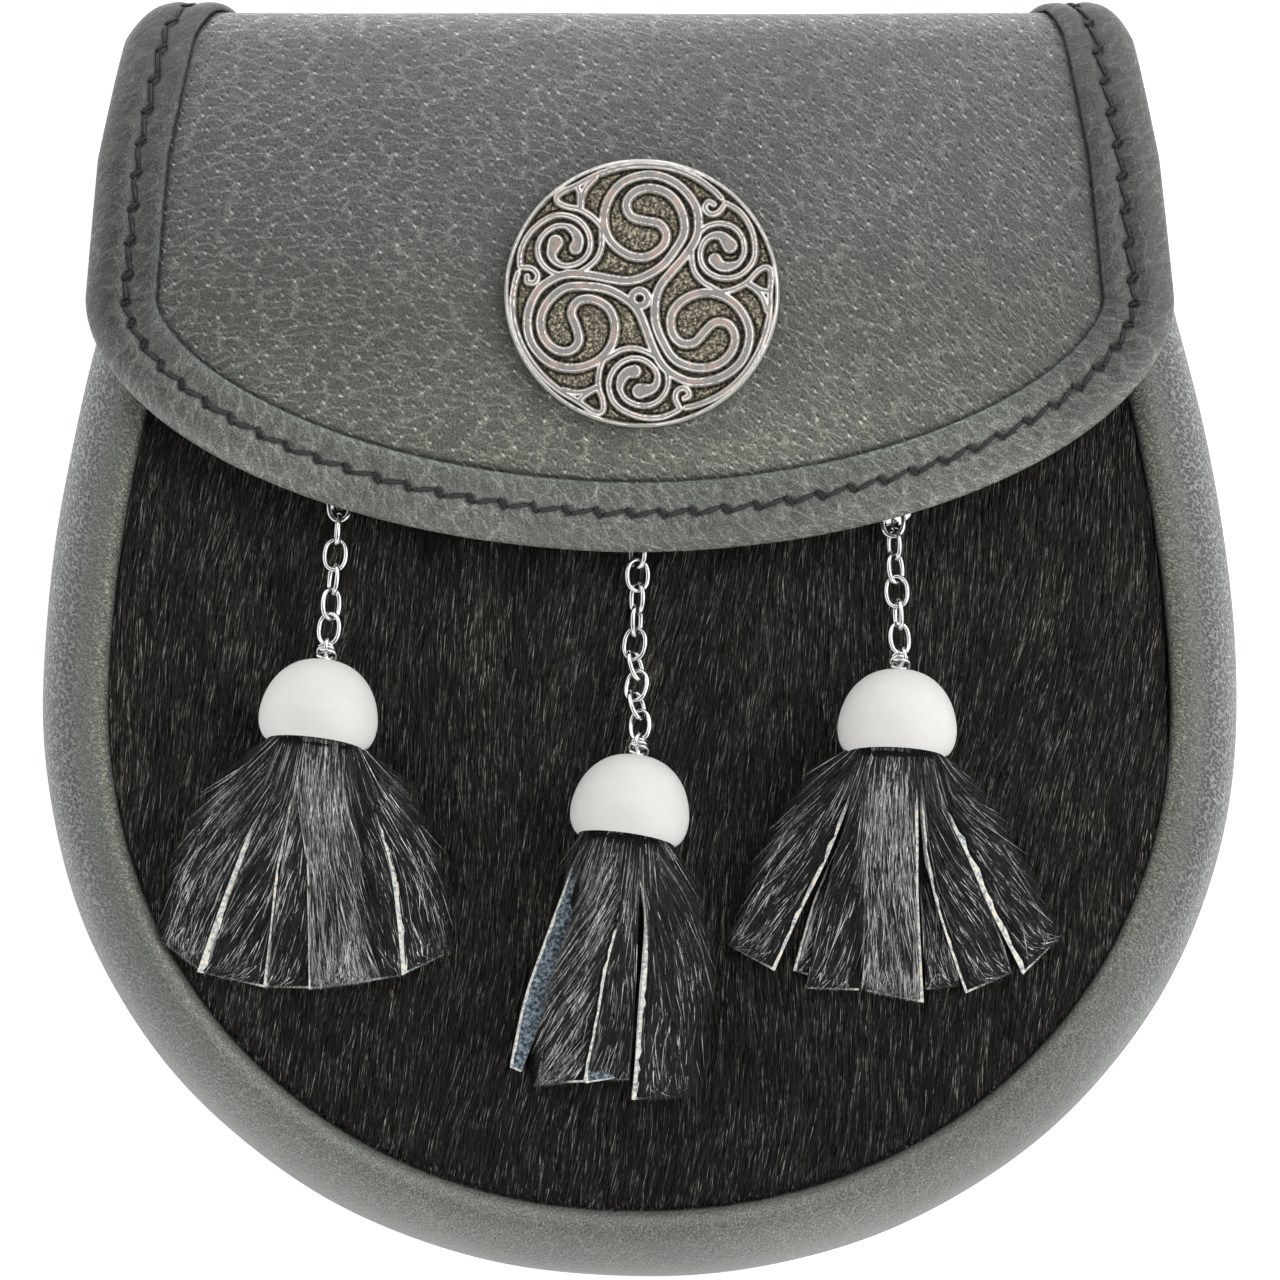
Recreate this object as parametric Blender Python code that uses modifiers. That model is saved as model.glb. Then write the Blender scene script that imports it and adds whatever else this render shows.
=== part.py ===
# Day sporran: a rolled leather pouch with a fur front, a folded flap with a cast medallion,
# and three short tassels on chains. It lies on its back, with the front facing +Z and its
# top toward +Y. Sizes are in millimetres here and become metres where vertices are made.
from math import atan2, cos, hypot, pi, radians, sin

import bmesh
import bpy
from mathutils import Matrix, Vector

MM = 0.001
GAP = 0.3

# Outline of the pouch seen from the front: a superellipse below, easing in toward the top.
BODY_HALF_WIDTH = 95.6
BODY_BELLY_Y = -10.0
BODY_DROP = 91.9
BODY_ROUNDNESS = 2.07
BODY_TAPER = 0.00718
BODY_TAPER_POWER = 1.75
BODY_TAPER_REACH = 58.0

# Rolled gusset. Its skin is listed from the front seam round the outside to the back seam:
# how far each point lies inside the outline, and its height above the floor.
GUSSET_TOP_Y = 86.0
GUSSET_WALL = 1.8
GUSSET_SKIN = (
    # inset, height
    (11.6, 30.0),
    (11.6, 32.6),
    (10.4, 34.5),
    (8.2, 35.0),
    (5.2, 33.6),
    (2.4, 29.8),
    (0.5, 24.5),
    (0.0, 18.5),
    (0.8, 10.5),
    (2.8, 4.0),
    (6.0, 0.0),
    (12.0, 0.0),
    (13.0, 1.5),
    (13.0, 9.0),
)
MOUTH_THINNING = 0.77
MOUTH_THINNING_FROM_Y = 40.0

# Back of the pouch and flap, one sheet. In side view it runs up the back, round the fold
# and down the front to the flap's lower edge.
SHEET_THICKNESS = 2.0
SHEET_COLUMNS = 6
BACK_Z = 8.0
BACK_BOTTOM_Y = -88.3
BACK_INSET = 13.4
FOLD_START_Y = 84.0
FOLD_TOP_Y = 99.0
FOLD_MID_Z = 24.5
FRONT_CREST_Y = 38.0
FRONT_CREST_Z = 43.4
FRONT_FOLD_POWER = 2.2
FLAP_EDGE_Y = 13.9
FLAP_EDGE_DIP = 2.4
FLAP_CROWN = 2.5

# Outline of the flap's free edge, outside its binding.
FLAP_CORNER_Y = 53.9
FLAP_ROUNDNESS = 1.91
FLAP_CENTRE_X = -0.2
FLAP_SIDE_STEPS = 13
FLAP_ROUND_STEPS = 24
FLAP_SIDES = (
    # height of the row in side view, reach to the left, reach to the right
    ("back shoulder", 17.0, 74.5, 72.5),
    ("fold top", 24.5, 77.5, 75.3),
    ("upper fold", 32.0, 81.6, 78.6),
    ("front", 40.0, 85.6, 82.4),
    ("corner", 43.4, 87.4, 84.6),
)

# Rows of the sheet between the top of the gusset and the flap's table.
BACK_SHOULDERS = (
    # height, reach to either side
    (8.5, 63.2),
    (12.0, 67.6),
)

BINDING_EDGE_INSET = 2.5
BINDING_SECTION = (
    # inset from the edge, height over the sheet's middle
    (11.0, 1.4),
    (11.0, 2.4),
    (4.0, 2.5),
    (1.1, 1.9),
    (0.0, 0.0),
    (1.1, -1.9),
    (4.0, -2.5),
    (11.0, -2.4),
    (11.0, -1.4),
    (2.2, -1.4),
    (2.2, 1.4),
)

PANEL_THICKNESS = 3.0
PANEL_INSET = 11.9
PANEL_TOP_Y = 80.0
PANEL_EDGE_Z = 33.3
PANEL_DOME = 2.0

MEDALLION_X = 0.3
MEDALLION_Y = 54.9
MEDALLION_RADIUS = 21.7
MEDALLION_DISC = 2.0
MEDALLION_RELIEF = 1.2
BAND_WIDTH = 1.35
# One third of the endless band, in radii from the centre. It leaves the centre, rounds the
# large spiral from outside to its S-shaped heart and comes back. Turned thirds follow on.
BAND_THIRD = (
    (0.129, 0.080), (0.235, 0.219), (0.347, 0.350), (0.399, 0.496), (0.376, 0.657),
    (0.256, 0.810), (0.073, 0.879), (-0.124, 0.832), (-0.243, 0.693), (-0.276, 0.526),
    (-0.222, 0.380), (-0.103, 0.285), (0.031, 0.267), (0.143, 0.336), (0.179, 0.431),
    (0.129, 0.514), (0.031, 0.536), (-0.075, 0.569), (-0.113, 0.657), (-0.060, 0.745),
    (0.059, 0.781), (0.193, 0.737), (0.284, 0.620), (0.298, 0.482), (0.228, 0.336),
    (0.108, 0.219), (-0.032, 0.139),
)
SMALL_SPIRAL_CENTRE = (-0.545, 0.355)
SMALL_SPIRAL_RADIUS = 0.185

LOOP_X = 42.0
LOOP_Y = 30.0
LOOP_WIDTH = 20.0
LOOP_WALL = 1.8
LOOP_LIP_Z = 7.0
LOOP_LOW_Z = 0.6
LOOP_HALF_OPENING = 14.0
LOOP_HALF_LENGTH = 23.0

STUD_RADIUS = 7.0

CAP_RADIUS = 9.4
CAP_HEIGHT = 13.6
CAP_WALL = 0.8
CAP_NOD = 10.0
CAP_STEPS = 14
CAP_PROFILE = (
    # radius, height over the rim
    (1.3, 13.6),
    (4.6, 12.8),
    (7.2, 10.4),
    (8.9, 6.6),
    (9.4, 2.8),
    (8.9, 0.0),
)

LINK_WIRE = 0.44
LINK_HALF_LENGTH = 3.06
LINK_HALF_WIDTH = 2.15
EYE_RADIUS = 1.4
EYE_WIRE = 0.4
EYE_STAND_OFF = 0.9
EYE_HOLD = 0.25
EYE_SHANK = 4.2
ANCHOR_PLATE_RADIUS = 3.4
ANCHOR_PLATE = 0.8
ANCHOR_ARCH = 1.45

# Gathered core of each tassel, from its head inside the cap to the fan on the fur.
TASSEL_CORE = (
    # distance outside the rim, half-width, half-height, drop below the cap's axis
    (-7.0, 4.4, 4.4, 0.0),
    (-0.4, 7.4, 7.3, 0.0),
    (5.0, 8.0, 6.2, 1.2),
    (12.0, 10.0, 3.9, 4.0),
    (22.0, 13.5, 1.7, 6.6),
)
STRIP_THICKNESS = 1.3
STRIP_STATIONS = 5
STRIP_ROOT_WIDTH = 4.0

# The three drops. Each cap is placed by the middle of its rim. Its chain starts at the anchor,
# passes the bends and ends at the eye. Rolls turn each link about the chain's run. Strips
# give the middle of each strip's end, its width there and how far one edge lifts.
DROPS = (
    {
        "name": "left",
        "rim": (-51.2, -16.6),
        "eye_turn": -10.0,
        "tilt": 7.0,
        "start": (-47.4, 23.2),
        "bends": (),
        "rolls": (0.0, 84.0, 6.0, 68.0, -42.0, 20.0),
        "strips": (
            # end x, end y, end width, lift in degrees
            (-72.0, -50.6, 6.0, 20.0),
            (-65.0, -54.0, 10.0, 12.0),
            (-56.2, -55.6, 9.0, 8.0),
            (-47.6, -55.6, 9.6, 14.0),
            (-40.4, -54.0, 7.0, 10.0),
            (-34.4, -52.0, 7.0, 16.0),
        ),
    },
    {
        "name": "middle",
        "rim": (-2.2, -31.6),
        "eye_turn": -30.0,
        "tilt": 8.0,
        "start": (-0.3, 19.3),
        "bends": (
            (-0.4, 8.0, 37.8), (-0.6, 0.2, 37.8), (-1.3, -3.6, 38.2),
            (0.3, -6.6, 39.2), (-1.2, -9.5, 39.8), (0.3, -12.4, 41.2),
        ),
        "rolls": (0.0, 50.0, -14.0, 58.0, -68.0, 16.0, -62.0, 24.0, -58.0, 30.0),
        "strips": (
            (-18.6, -67.4, 6.4, 24.0),
            (-12.4, -69.6, 8.0, 10.0),
            (-6.2, -69.4, 6.4, 16.0),
            (-1.4, -72.2, 6.0, 8.0),
            (4.2, -71.6, 8.4, 14.0),
        ),
    },
    {
        "name": "right",
        "rim": (40.3, -18.2),
        "eye_turn": 30.0,
        "tilt": 3.0,
        "start": (39.9, 20.6),
        "bends": (),
        "rolls": (0.0, 60.0, -50.0, 10.0, 74.0, -30.0),
        "strips": (
            (18.4, -50.8, 7.4, 18.0),
            (26.8, -54.0, 9.0, 12.0),
            (34.0, -55.0, 6.6, 8.0),
            (40.6, -57.2, 9.2, 14.0),
            (48.0, -55.4, 7.0, 8.0),
            (54.6, -54.6, 8.0, 12.0),
            (60.6, -52.2, 6.4, 18.0),
        ),
    },
)

FINISHES = {
    # name: colour, metallic, roughness
    "grey_leather": ((0.16, 0.165, 0.155), 0.0, 0.5),
    "black_fur": ((0.012, 0.011, 0.010), 0.0, 0.7),
    "antique_metal": ((0.42, 0.39, 0.36), 0.9, 0.35),
    "polished_metal": ((0.85, 0.85, 0.86), 1.0, 0.08),
    "haired_hide": ((0.03, 0.03, 0.032), 0.0, 0.6),
}


def clear_scene():
    for thing in list(bpy.data.objects):
        bpy.data.objects.remove(thing, do_unlink=True)


def make_collection(name):
    collection = bpy.data.collections.new(name)
    bpy.context.scene.collection.children.link(collection)
    return collection


def make_finish(node, kind):
    colour, metallic, roughness = FINISHES[kind]
    finish = bpy.data.materials.new(f"{node}_{kind}")
    finish.use_nodes = True
    shader = finish.node_tree.nodes["Principled BSDF"]
    shader.inputs["Base Color"].default_value = (*colour, 1.0)
    shader.inputs["Metallic"].default_value = metallic
    shader.inputs["Roughness"].default_value = roughness
    return finish


def add_node(name, mesh, kind, smooth=40.0):
    node = bpy.data.objects.new(name, mesh)
    PARTS.objects.link(node)
    mesh.shade_smooth()
    mesh.set_sharp_from_angle(angle=radians(smooth))
    mesh.materials.clear()
    mesh.materials.append(make_finish(name, kind))
    return node


def add_solidify(node, thickness, offset):
    shell = node.modifiers.new("wall", "SOLIDIFY")
    shell.thickness = thickness * MM
    shell.offset = offset
    shell.use_even_offset = True


def baked(node):
    graph = bpy.context.evaluated_depsgraph_get()
    mesh = bpy.data.meshes.new_from_object(node.evaluated_get(graph))
    mesh.transform(node.matrix_world)
    return mesh


def triangulated(mesh):
    form = bmesh.new()
    form.from_mesh(mesh)
    bmesh.ops.triangulate(form, faces=form.faces)
    form.to_mesh(mesh)
    form.free()
    return mesh


def fused(name, solids, kind, smooth=40.0):
    # Boolean union of overlapping solids into one body.
    node = add_node(name, solids[0], kind, smooth)
    for mesh in solids[1:]:
        tool = bpy.data.objects.new(f"{name}_tool", mesh)
        CUTTERS.objects.link(tool)
        union = node.modifiers.new("union", "BOOLEAN")
        union.operation = "UNION"
        union.solver = "EXACT"
        union.object = tool
        bpy.context.view_layer.update()
        mesh_after = baked(node)
        node.modifiers.clear()
        node.data = mesh_after
        bpy.data.objects.remove(tool, do_unlink=True)
    node.data.materials.clear()
    node.data.materials.append(make_finish(name, kind))
    return node


def grid_mesh(name, rows):
    # Open surface through rows of points. A row of one point is a tip.
    form = bmesh.new()
    grid = [[form.verts.new(Vector(point) * MM) for point in row] for row in rows]
    for upper, lower in zip(grid, grid[1:]):
        if len(upper) == 1:
            for a, b in zip(lower, lower[1:]):
                form.faces.new((upper[0], a, b))
        elif len(lower) == 1:
            for a, b in zip(upper, upper[1:]):
                form.faces.new((a, lower[0], b))
        else:
            for i in range(len(upper) - 1):
                form.faces.new((upper[i], lower[i], lower[i + 1], upper[i + 1]))
    mesh = bpy.data.meshes.new(name)
    form.to_mesh(mesh)
    form.free()
    return mesh


def loft_mesh(name, rings, closed=False):
    # Closed solid through rings of equal length, with flat ends unless the rings close up.
    form = bmesh.new()
    grid = [[form.verts.new(Vector(point) * MM) for point in ring] for ring in rings]
    pairs = list(zip(grid, grid[1:]))
    if closed:
        pairs.append((grid[-1], grid[0]))
    for first, second in pairs:
        for i in range(len(first)):
            j = (i + 1) % len(first)
            form.faces.new((first[i], first[j], second[j], second[i]))
    if not closed:
        form.faces.new(list(reversed(grid[0])))
        form.faces.new(grid[-1])
    bmesh.ops.recalc_face_normals(form, faces=form.faces)
    mesh = bpy.data.meshes.new(name)
    form.to_mesh(mesh)
    form.free()
    return mesh


def spaced(first, last, count):
    return [first + (last - first) * i / (count - 1) for i in range(count)]


def body_half_width(y):
    rise = y - BODY_BELLY_Y
    if rise <= BODY_TAPER_REACH:
        return BODY_HALF_WIDTH - BODY_TAPER * rise ** BODY_TAPER_POWER
    slope = BODY_TAPER * BODY_TAPER_POWER * BODY_TAPER_REACH ** (BODY_TAPER_POWER - 1)
    at_reach = BODY_TAPER * BODY_TAPER_REACH ** BODY_TAPER_POWER
    return BODY_HALF_WIDTH - at_reach - slope * (rise - BODY_TAPER_REACH)


def superellipse(angle, half_width, drop, power):
    side = 1 if cos(angle) >= 0 else -1
    x = side * half_width * abs(cos(angle)) ** (2 / power)
    y = drop * abs(sin(angle)) ** (2 / power)
    return x, y


def body_edge(top_y, side_steps, round_steps):
    # Outline from the right top end round the bottom to the left top end.
    right = [(body_half_width(y), y) for y in spaced(top_y, BODY_BELLY_Y, side_steps)]
    round_part = []
    for i in range(1, round_steps):
        x, drop = superellipse(pi * i / round_steps, BODY_HALF_WIDTH, BODY_DROP, BODY_ROUNDNESS)
        round_part.append((x, BODY_BELLY_Y - drop))
    left = [(-x, y) for x, y in reversed(right)]
    return right + round_part + left


def inward_normals(points):
    normals = []
    for i in range(len(points)):
        before = points[max(i - 1, 0)]
        after = points[min(i + 1, len(points) - 1)]
        run = (after[0] - before[0], after[1] - before[1])
        length = hypot(*run)
        normals.append((run[1] / length, -run[0] / length))
    return normals


def inset_edge(points, inset):
    normals = inward_normals(points)
    return [(x + nx * inset, y + ny * inset) for (x, y), (nx, ny) in zip(points, normals)]


def mouth_height(z, y):
    # The pouch gets thinner toward its mouth.
    share = max(0.0, min(1.0, (y - MOUTH_THINNING_FROM_Y) / (GUSSET_TOP_Y - MOUTH_THINNING_FROM_Y)))
    keep = 1.0 - (1.0 - MOUTH_THINNING) * share * share * (3 - 2 * share)
    if z <= BACK_Z + 1:
        return z
    return BACK_Z + 1 + (z - BACK_Z - 1) * keep


def make_gusset():
    edge = body_edge(GUSSET_TOP_Y, 6, 18)
    normals = inward_normals(edge)
    rows = []
    for (x, y), (nx, ny) in zip(edge, normals):
        rows.append([(x + nx * inset, y + ny * inset, mouth_height(z, y)) for inset, z in GUSSET_SKIN])
    node = add_node("gusset", grid_mesh("gusset", rows), "grey_leather", 50.0)
    add_solidify(node, GUSSET_WALL, -1.0)
    return node


def make_front_panel():
    edge = inset_edge(body_edge(PANEL_TOP_Y, 6, 18), PANEL_INSET)
    count = len(edge) // 2
    columns = 6
    rows = []
    for i in range(count):
        (right, y), (left, _) = edge[i], edge[-1 - i]
        row = []
        for u in spaced(-1.0, 1.0, columns + 1):
            x = left + (right - left) * (u + 1) / 2
            row.append((x, y, panel_top(x, y)))
        rows.append(row)
    tip_y = edge[count][1]
    rows.append([(0.0, tip_y, panel_top(0.0, tip_y))])
    node = add_node("front_panel", grid_mesh("front_panel", rows), "black_fur", 50.0)
    add_solidify(node, PANEL_THICKNESS, -1.0)
    return node


def panel_top(x, y):
    # Height of the fur's surface: level at the seam and domed between.
    half = body_half_width(max(y, BODY_BELLY_Y)) - PANEL_INSET
    across = min(1.0, abs(x) / half)
    drop = BODY_DROP - PANEL_INSET
    along = min(1.0, max(0.0, (BODY_BELLY_Y - y) / drop))
    dome = PANEL_DOME * max(0.0, 1 - across ** 2 - along ** 2)
    return mouth_height(PANEL_EDGE_Z + dome, y)


def side_profile():
    # Middle of the back-and-flap sheet in side view, as (y, z) points a short step apart.
    points = [(y, BACK_Z) for y in spaced(BACK_BOTTOM_Y, FOLD_START_Y, 40)]
    for i in range(1, 25):
        angle = pi / 2 * i / 24
        y = FOLD_START_Y + (FOLD_TOP_Y - FOLD_START_Y) * sin(angle)
        points.append((y, FOLD_MID_Z - (FOLD_MID_Z - BACK_Z) * cos(angle)))
    for i in range(1, 41):
        across, up = superellipse(pi / 2 * i / 40, FOLD_TOP_Y - FRONT_CREST_Y,
                                  FRONT_CREST_Z - FOLD_MID_Z, FRONT_FOLD_POWER)
        points.append((FRONT_CREST_Y + across, FOLD_MID_Z + up))
    for y in spaced(FRONT_CREST_Y, FLAP_EDGE_Y, 13)[1:]:
        fall = (FRONT_CREST_Y - y) / (FRONT_CREST_Y - FLAP_EDGE_Y)
        points.append((y, FRONT_CREST_Z - FLAP_EDGE_DIP * fall ** 2))
    return points


PROFILE = side_profile()
RUN = [0.0]
for first_point, next_point in zip(PROFILE, PROFILE[1:]):
    RUN.append(RUN[-1] + hypot(next_point[0] - first_point[0], next_point[1] - first_point[1]))


def run_where(test):
    # Length along the side profile of its first point that passes the test.
    return next(run for run, point in zip(RUN, PROFILE) if test(point))


def on_sheet(x, run, height=0.0):
    # Point of the folded sheet: x across, run along the side profile, height over its middle.
    run = min(max(run, 0.0), RUN[-1] - 1e-6)
    i = next(k for k in range(len(RUN) - 1) if RUN[k + 1] > run)
    share = (run - RUN[i]) / (RUN[i + 1] - RUN[i])
    (y0, z0), (y1, z1) = PROFILE[i], PROFILE[i + 1]
    before = PROFILE[max(i - 1, 0)]
    after = PROFILE[min(i + 2, len(PROFILE) - 1)]
    tangent_in = Vector((y1 - before[0], z1 - before[1])).normalized()
    tangent_out = Vector((after[0] - y0, after[1] - z0)).normalized()
    tangent = tangent_in.lerp(tangent_out, share).normalized()
    y = y0 + (y1 - y0) * share
    z = z0 + (z1 - z0) * share
    out = (tangent[1], -tangent[0])
    crown = FLAP_CROWN * (x / FLAP_SIDES[-1][2]) ** 2 * max(0.0, -tangent[0])
    return (x, y + out[0] * height, z + out[1] * height - crown)


def side_reach(run, column):
    # Half-width of the flap on one side, between the named rows of its table.
    marks = []
    for name, z, left, right in FLAP_SIDES[:-1]:
        rising = run_where(lambda p, z=z: p[0] > FOLD_START_Y - 12 and p[1] >= z)
        marks.append((rising, (left, right)[column]))
    corner = run_where(lambda p: p[1] > FOLD_MID_Z and p[0] <= FLAP_CORNER_Y)
    marks.append((corner, FLAP_SIDES[-1][2 + column]))
    for (run0, reach0), (run1, reach1) in zip(marks, marks[1:]):
        if run <= run1:
            share = max(0.0, (run - run0) / (run1 - run0))
            return reach0 + (reach1 - reach0) * share
    return marks[-1][1]


def flap_edge(side_steps, round_steps):
    # Free edge in the flat pattern (x, run), from the left shoulder round to the right one.
    start = run_where(lambda p: p[1] > FLAP_SIDES[0][1])
    corner = run_where(lambda p: p[1] > FOLD_MID_Z and p[0] <= FLAP_CORNER_Y)
    drop = RUN[-1] - corner
    runs = spaced(start, corner, side_steps)
    left = [(FLAP_CENTRE_X - side_reach(run, 0), run) for run in runs]
    right = [(FLAP_CENTRE_X + side_reach(run, 1), run) for run in reversed(runs)]
    round_part = []
    for i in range(1, round_steps):
        angle = pi - pi * i / round_steps
        reach = FLAP_SIDES[-1][2] if angle > pi / 2 else FLAP_SIDES[-1][3]
        x, fall = superellipse(angle, reach, drop, FLAP_ROUNDNESS)
        round_part.append((FLAP_CENTRE_X + x, corner + fall))
    return left + round_part + right


def flap_inward(edge):
    # Way into the sheet from its free edge: level across the sides, square to the round part.
    normals = inward_normals(edge)
    for i in range(FLAP_SIDE_STEPS - 1):
        normals[i] = (1.0, 0.0)
        normals[-1 - i] = (-1.0, 0.0)
    return normals


def make_back_and_flap():
    back = inset_edge(body_edge(FOLD_START_Y, 6, 18), BACK_INSET)
    half = len(back) // 2
    pairs = [((0.0, 0.0), (0.0, 0.0))]
    for i in range(half - 1, -1, -1):
        right, left = back[i], back[-1 - i]
        run = right[1] - BACK_BOTTOM_Y
        pairs.append(((left[0], run), (right[0], run)))
    for z, reach in BACK_SHOULDERS:
        run = run_where(lambda p, z=z: p[0] > FOLD_START_Y and p[1] >= z)
        pairs.append(((-reach, run), (reach, run)))
    front = flap_edge(FLAP_SIDE_STEPS, FLAP_ROUND_STEPS)
    front = [(x + nx * BINDING_EDGE_INSET, run + nr * BINDING_EDGE_INSET)
             for (x, run), (nx, nr) in zip(front, flap_inward(front))]
    middle = len(front) // 2
    for i in range(middle):
        left, right = front[i], front[-1 - i]
        pairs.append((left, (right[0], (left[1] + right[1]) / 2)))
    tip = front[middle]
    rows = []
    for left, right in pairs:
        if left == right:
            rows.append([on_sheet(left[0], left[1])])
        else:
            rows.append([on_sheet(x, left[1]) for x in spaced(left[0], right[0], SHEET_COLUMNS + 1)])
    rows.append([on_sheet(tip[0], tip[1])])
    node = add_node("back_and_flap", grid_mesh("back_and_flap", rows), "grey_leather", 60.0)
    add_solidify(node, SHEET_THICKNESS, 0.0)
    return node


def make_binding():
    edge = flap_edge(FLAP_SIDE_STEPS, FLAP_ROUND_STEPS)
    rings = []
    for (x, run), (nx, nr) in zip(edge, flap_inward(edge)):
        rings.append([on_sheet(x + nx * inset, run + nr * inset, height)
                      for inset, height in BINDING_SECTION])
    return add_node("flap_binding", loft_mesh("flap_binding", rings), "grey_leather", 50.0)


def ribbon_mesh(points, width, low, high, closed):
    count = len(points)
    rings = []
    for i, (x, y) in enumerate(points):
        before = points[(i - 1) % count] if closed else points[max(i - 1, 0)]
        after = points[(i + 1) % count] if closed else points[min(i + 1, count - 1)]
        run = Vector((after[0] - before[0], after[1] - before[1])).normalized()
        side = (-run[1] * width / 2, run[0] * width / 2)
        rings.append([
            (x - side[0], y - side[1], low), (x + side[0], y + side[1], low),
            (x + side[0] * 0.7, y + side[1] * 0.7, high), (x - side[0] * 0.7, y - side[1] * 0.7, high),
        ])
    return loft_mesh("ribbon", rings, closed)


def turned(points, angle):
    return [(x * cos(angle) - y * sin(angle), x * sin(angle) + y * cos(angle)) for x, y in points]


def small_spiral(arm):
    # Two-armed spiral: each arm turns once and a half inward from the same ring.
    centre = Vector(SMALL_SPIRAL_CENTRE)
    points = []
    for i in range(9):
        share = i / 8
        angle = arm * pi + share * 1.5 * pi
        radius = SMALL_SPIRAL_RADIUS * (1.0 - 0.72 * share)
        points.append((centre[0] + radius * cos(angle), centre[1] + radius * sin(angle)))
    return points


def make_medallion():
    radius = MEDALLION_RADIUS
    form = bmesh.new()
    bmesh.ops.create_cone(form, cap_ends=True, segments=40, radius1=radius * MM, radius2=radius * MM,
                          depth=MEDALLION_DISC * MM)
    disc = bpy.data.meshes.new("disc")
    form.to_mesh(disc)
    form.free()
    face = MEDALLION_DISC / 2
    low = face - 0.4
    rim = [(radius * 0.955 * cos(2 * pi * i / 40 + 0.03), radius * 0.955 * sin(2 * pi * i / 40 + 0.03))
           for i in range(40)]
    solids = [disc, ribbon_mesh(rim, 1.3, low, face + MEDALLION_RELIEF + 0.1, True)]
    band = []
    for third in range(3):
        band += turned(BAND_THIRD, 2 * pi / 3 * third)
    band = [(x * radius, y * radius) for x, y in band]
    solids.append(ribbon_mesh(band, BAND_WIDTH, low, face + MEDALLION_RELIEF, True))
    for third in range(3):
        for arm in range(2):
            arm_points = turned(small_spiral(arm), 2 * pi / 3 * third)
            arm_points = [(x * radius, y * radius) for x, y in arm_points]
            solids.append(ribbon_mesh(arm_points, 1.2, low, face + MEDALLION_RELIEF - 0.1, False))
    boss = [(0.06 * radius * cos(pi * i / 6), 0.06 * radius * sin(pi * i / 6)) for i in range(12)]
    solids.append(ribbon_mesh(boss, 0.9, low, face + MEDALLION_RELIEF - 0.2, True))
    node = fused("medallion", solids, "antique_metal", 30.0)
    seat_run = run_where(lambda p: p[1] > FOLD_MID_Z and p[0] <= MEDALLION_Y)
    seat = Vector(on_sheet(MEDALLION_X, seat_run, SHEET_THICKNESS / 2 + GAP + MEDALLION_DISC / 2))
    below = Vector(on_sheet(MEDALLION_X, seat_run + 1.0))
    above = Vector(on_sheet(MEDALLION_X, seat_run - 1.0))
    slope = above - below
    tilt = atan2(slope[2], slope[1])
    node.rotation_euler = (tilt, 0.0, 0.0)
    node.location = seat * MM
    return node


def make_stud():
    # Its top clears the flap where the flap is lowest over it, on the side of the fold.
    low_run = run_where(lambda p: p[1] > FOLD_MID_Z and p[0] <= MEDALLION_Y + STUD_RADIUS)
    ceiling = on_sheet(MEDALLION_X, low_run, -SHEET_THICKNESS / 2)[2] - 1.4 * GAP
    floor = panel_top(MEDALLION_X, MEDALLION_Y - STUD_RADIUS) + GAP
    form = bmesh.new()
    bmesh.ops.create_cone(form, cap_ends=True, segments=20, radius1=STUD_RADIUS * MM,
                          radius2=STUD_RADIUS * MM, depth=(ceiling - floor) * MM)
    mesh = bpy.data.meshes.new("closure_stud")
    form.to_mesh(mesh)
    form.free()
    node = add_node("closure_stud", mesh, "polished_metal")
    node.location = Vector((MEDALLION_X, MEDALLION_Y, (ceiling + floor) / 2)) * MM
    return node


def make_belt_loop(name, centre_x):
    top = LOOP_LIP_Z - GAP
    section = (
        (-LOOP_HALF_LENGTH, top), (-LOOP_HALF_OPENING - 3.0, top),
        (-LOOP_HALF_OPENING, top - 1.2), (-LOOP_HALF_OPENING + 2.4, LOOP_LOW_Z + 2.8),
        (-LOOP_HALF_OPENING + 5.0, LOOP_LOW_Z + LOOP_WALL), (0.0, LOOP_LOW_Z + LOOP_WALL),
    )
    section = section + tuple((-y, z) for y, z in reversed(section[:-1]))
    rows = []
    for y, z in section:
        rows.append([(centre_x + side * LOOP_WIDTH / 2, LOOP_Y + y, z) for side in (-1, 1)])
    node = add_node(name, grid_mesh(name, rows), "grey_leather", 50.0)
    add_solidify(node, LOOP_WALL, 1.0)
    return node


def link_ring():
    # Centre line of one link in its own plane: two straight sides and round ends.
    straight = LINK_HALF_LENGTH - LINK_HALF_WIDTH
    bend = LINK_HALF_WIDTH - LINK_WIRE
    points = []
    for end in (1, -1):
        for i in range(5):
            angle = pi * i / 4
            points.append((end * bend * cos(angle), end * (straight + bend * sin(angle)), 0.0))
    return points


def wire_curve(points, wire, closed):
    # Six-sided round wire along a run of points, with filled ends where it is open.
    curve = bpy.data.curves.new("wire", "CURVE")
    curve.dimensions = "3D"
    curve.bevel_depth = wire * MM
    curve.bevel_resolution = 1
    curve.use_fill_caps = True
    spline = curve.splines.new("POLY")
    spline.points.add(len(points) - 1)
    for handle, point in zip(spline.points, points):
        handle.co = (*(Vector(point) * MM), 1.0)
    spline.use_cyclic_u = closed
    return curve


def wire_mesh(points, wire, closed):
    holder = bpy.data.objects.new("wire", wire_curve(points, wire, closed))
    bpy.context.scene.collection.objects.link(holder)
    mesh = baked(holder)
    bpy.data.objects.remove(holder, do_unlink=True)
    form = bmesh.new()
    form.from_mesh(mesh)
    bmesh.ops.remove_doubles(form, verts=form.verts, dist=0.00001)
    bmesh.ops.recalc_face_normals(form, faces=form.faces)
    form.to_mesh(mesh)
    form.free()
    return mesh


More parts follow.
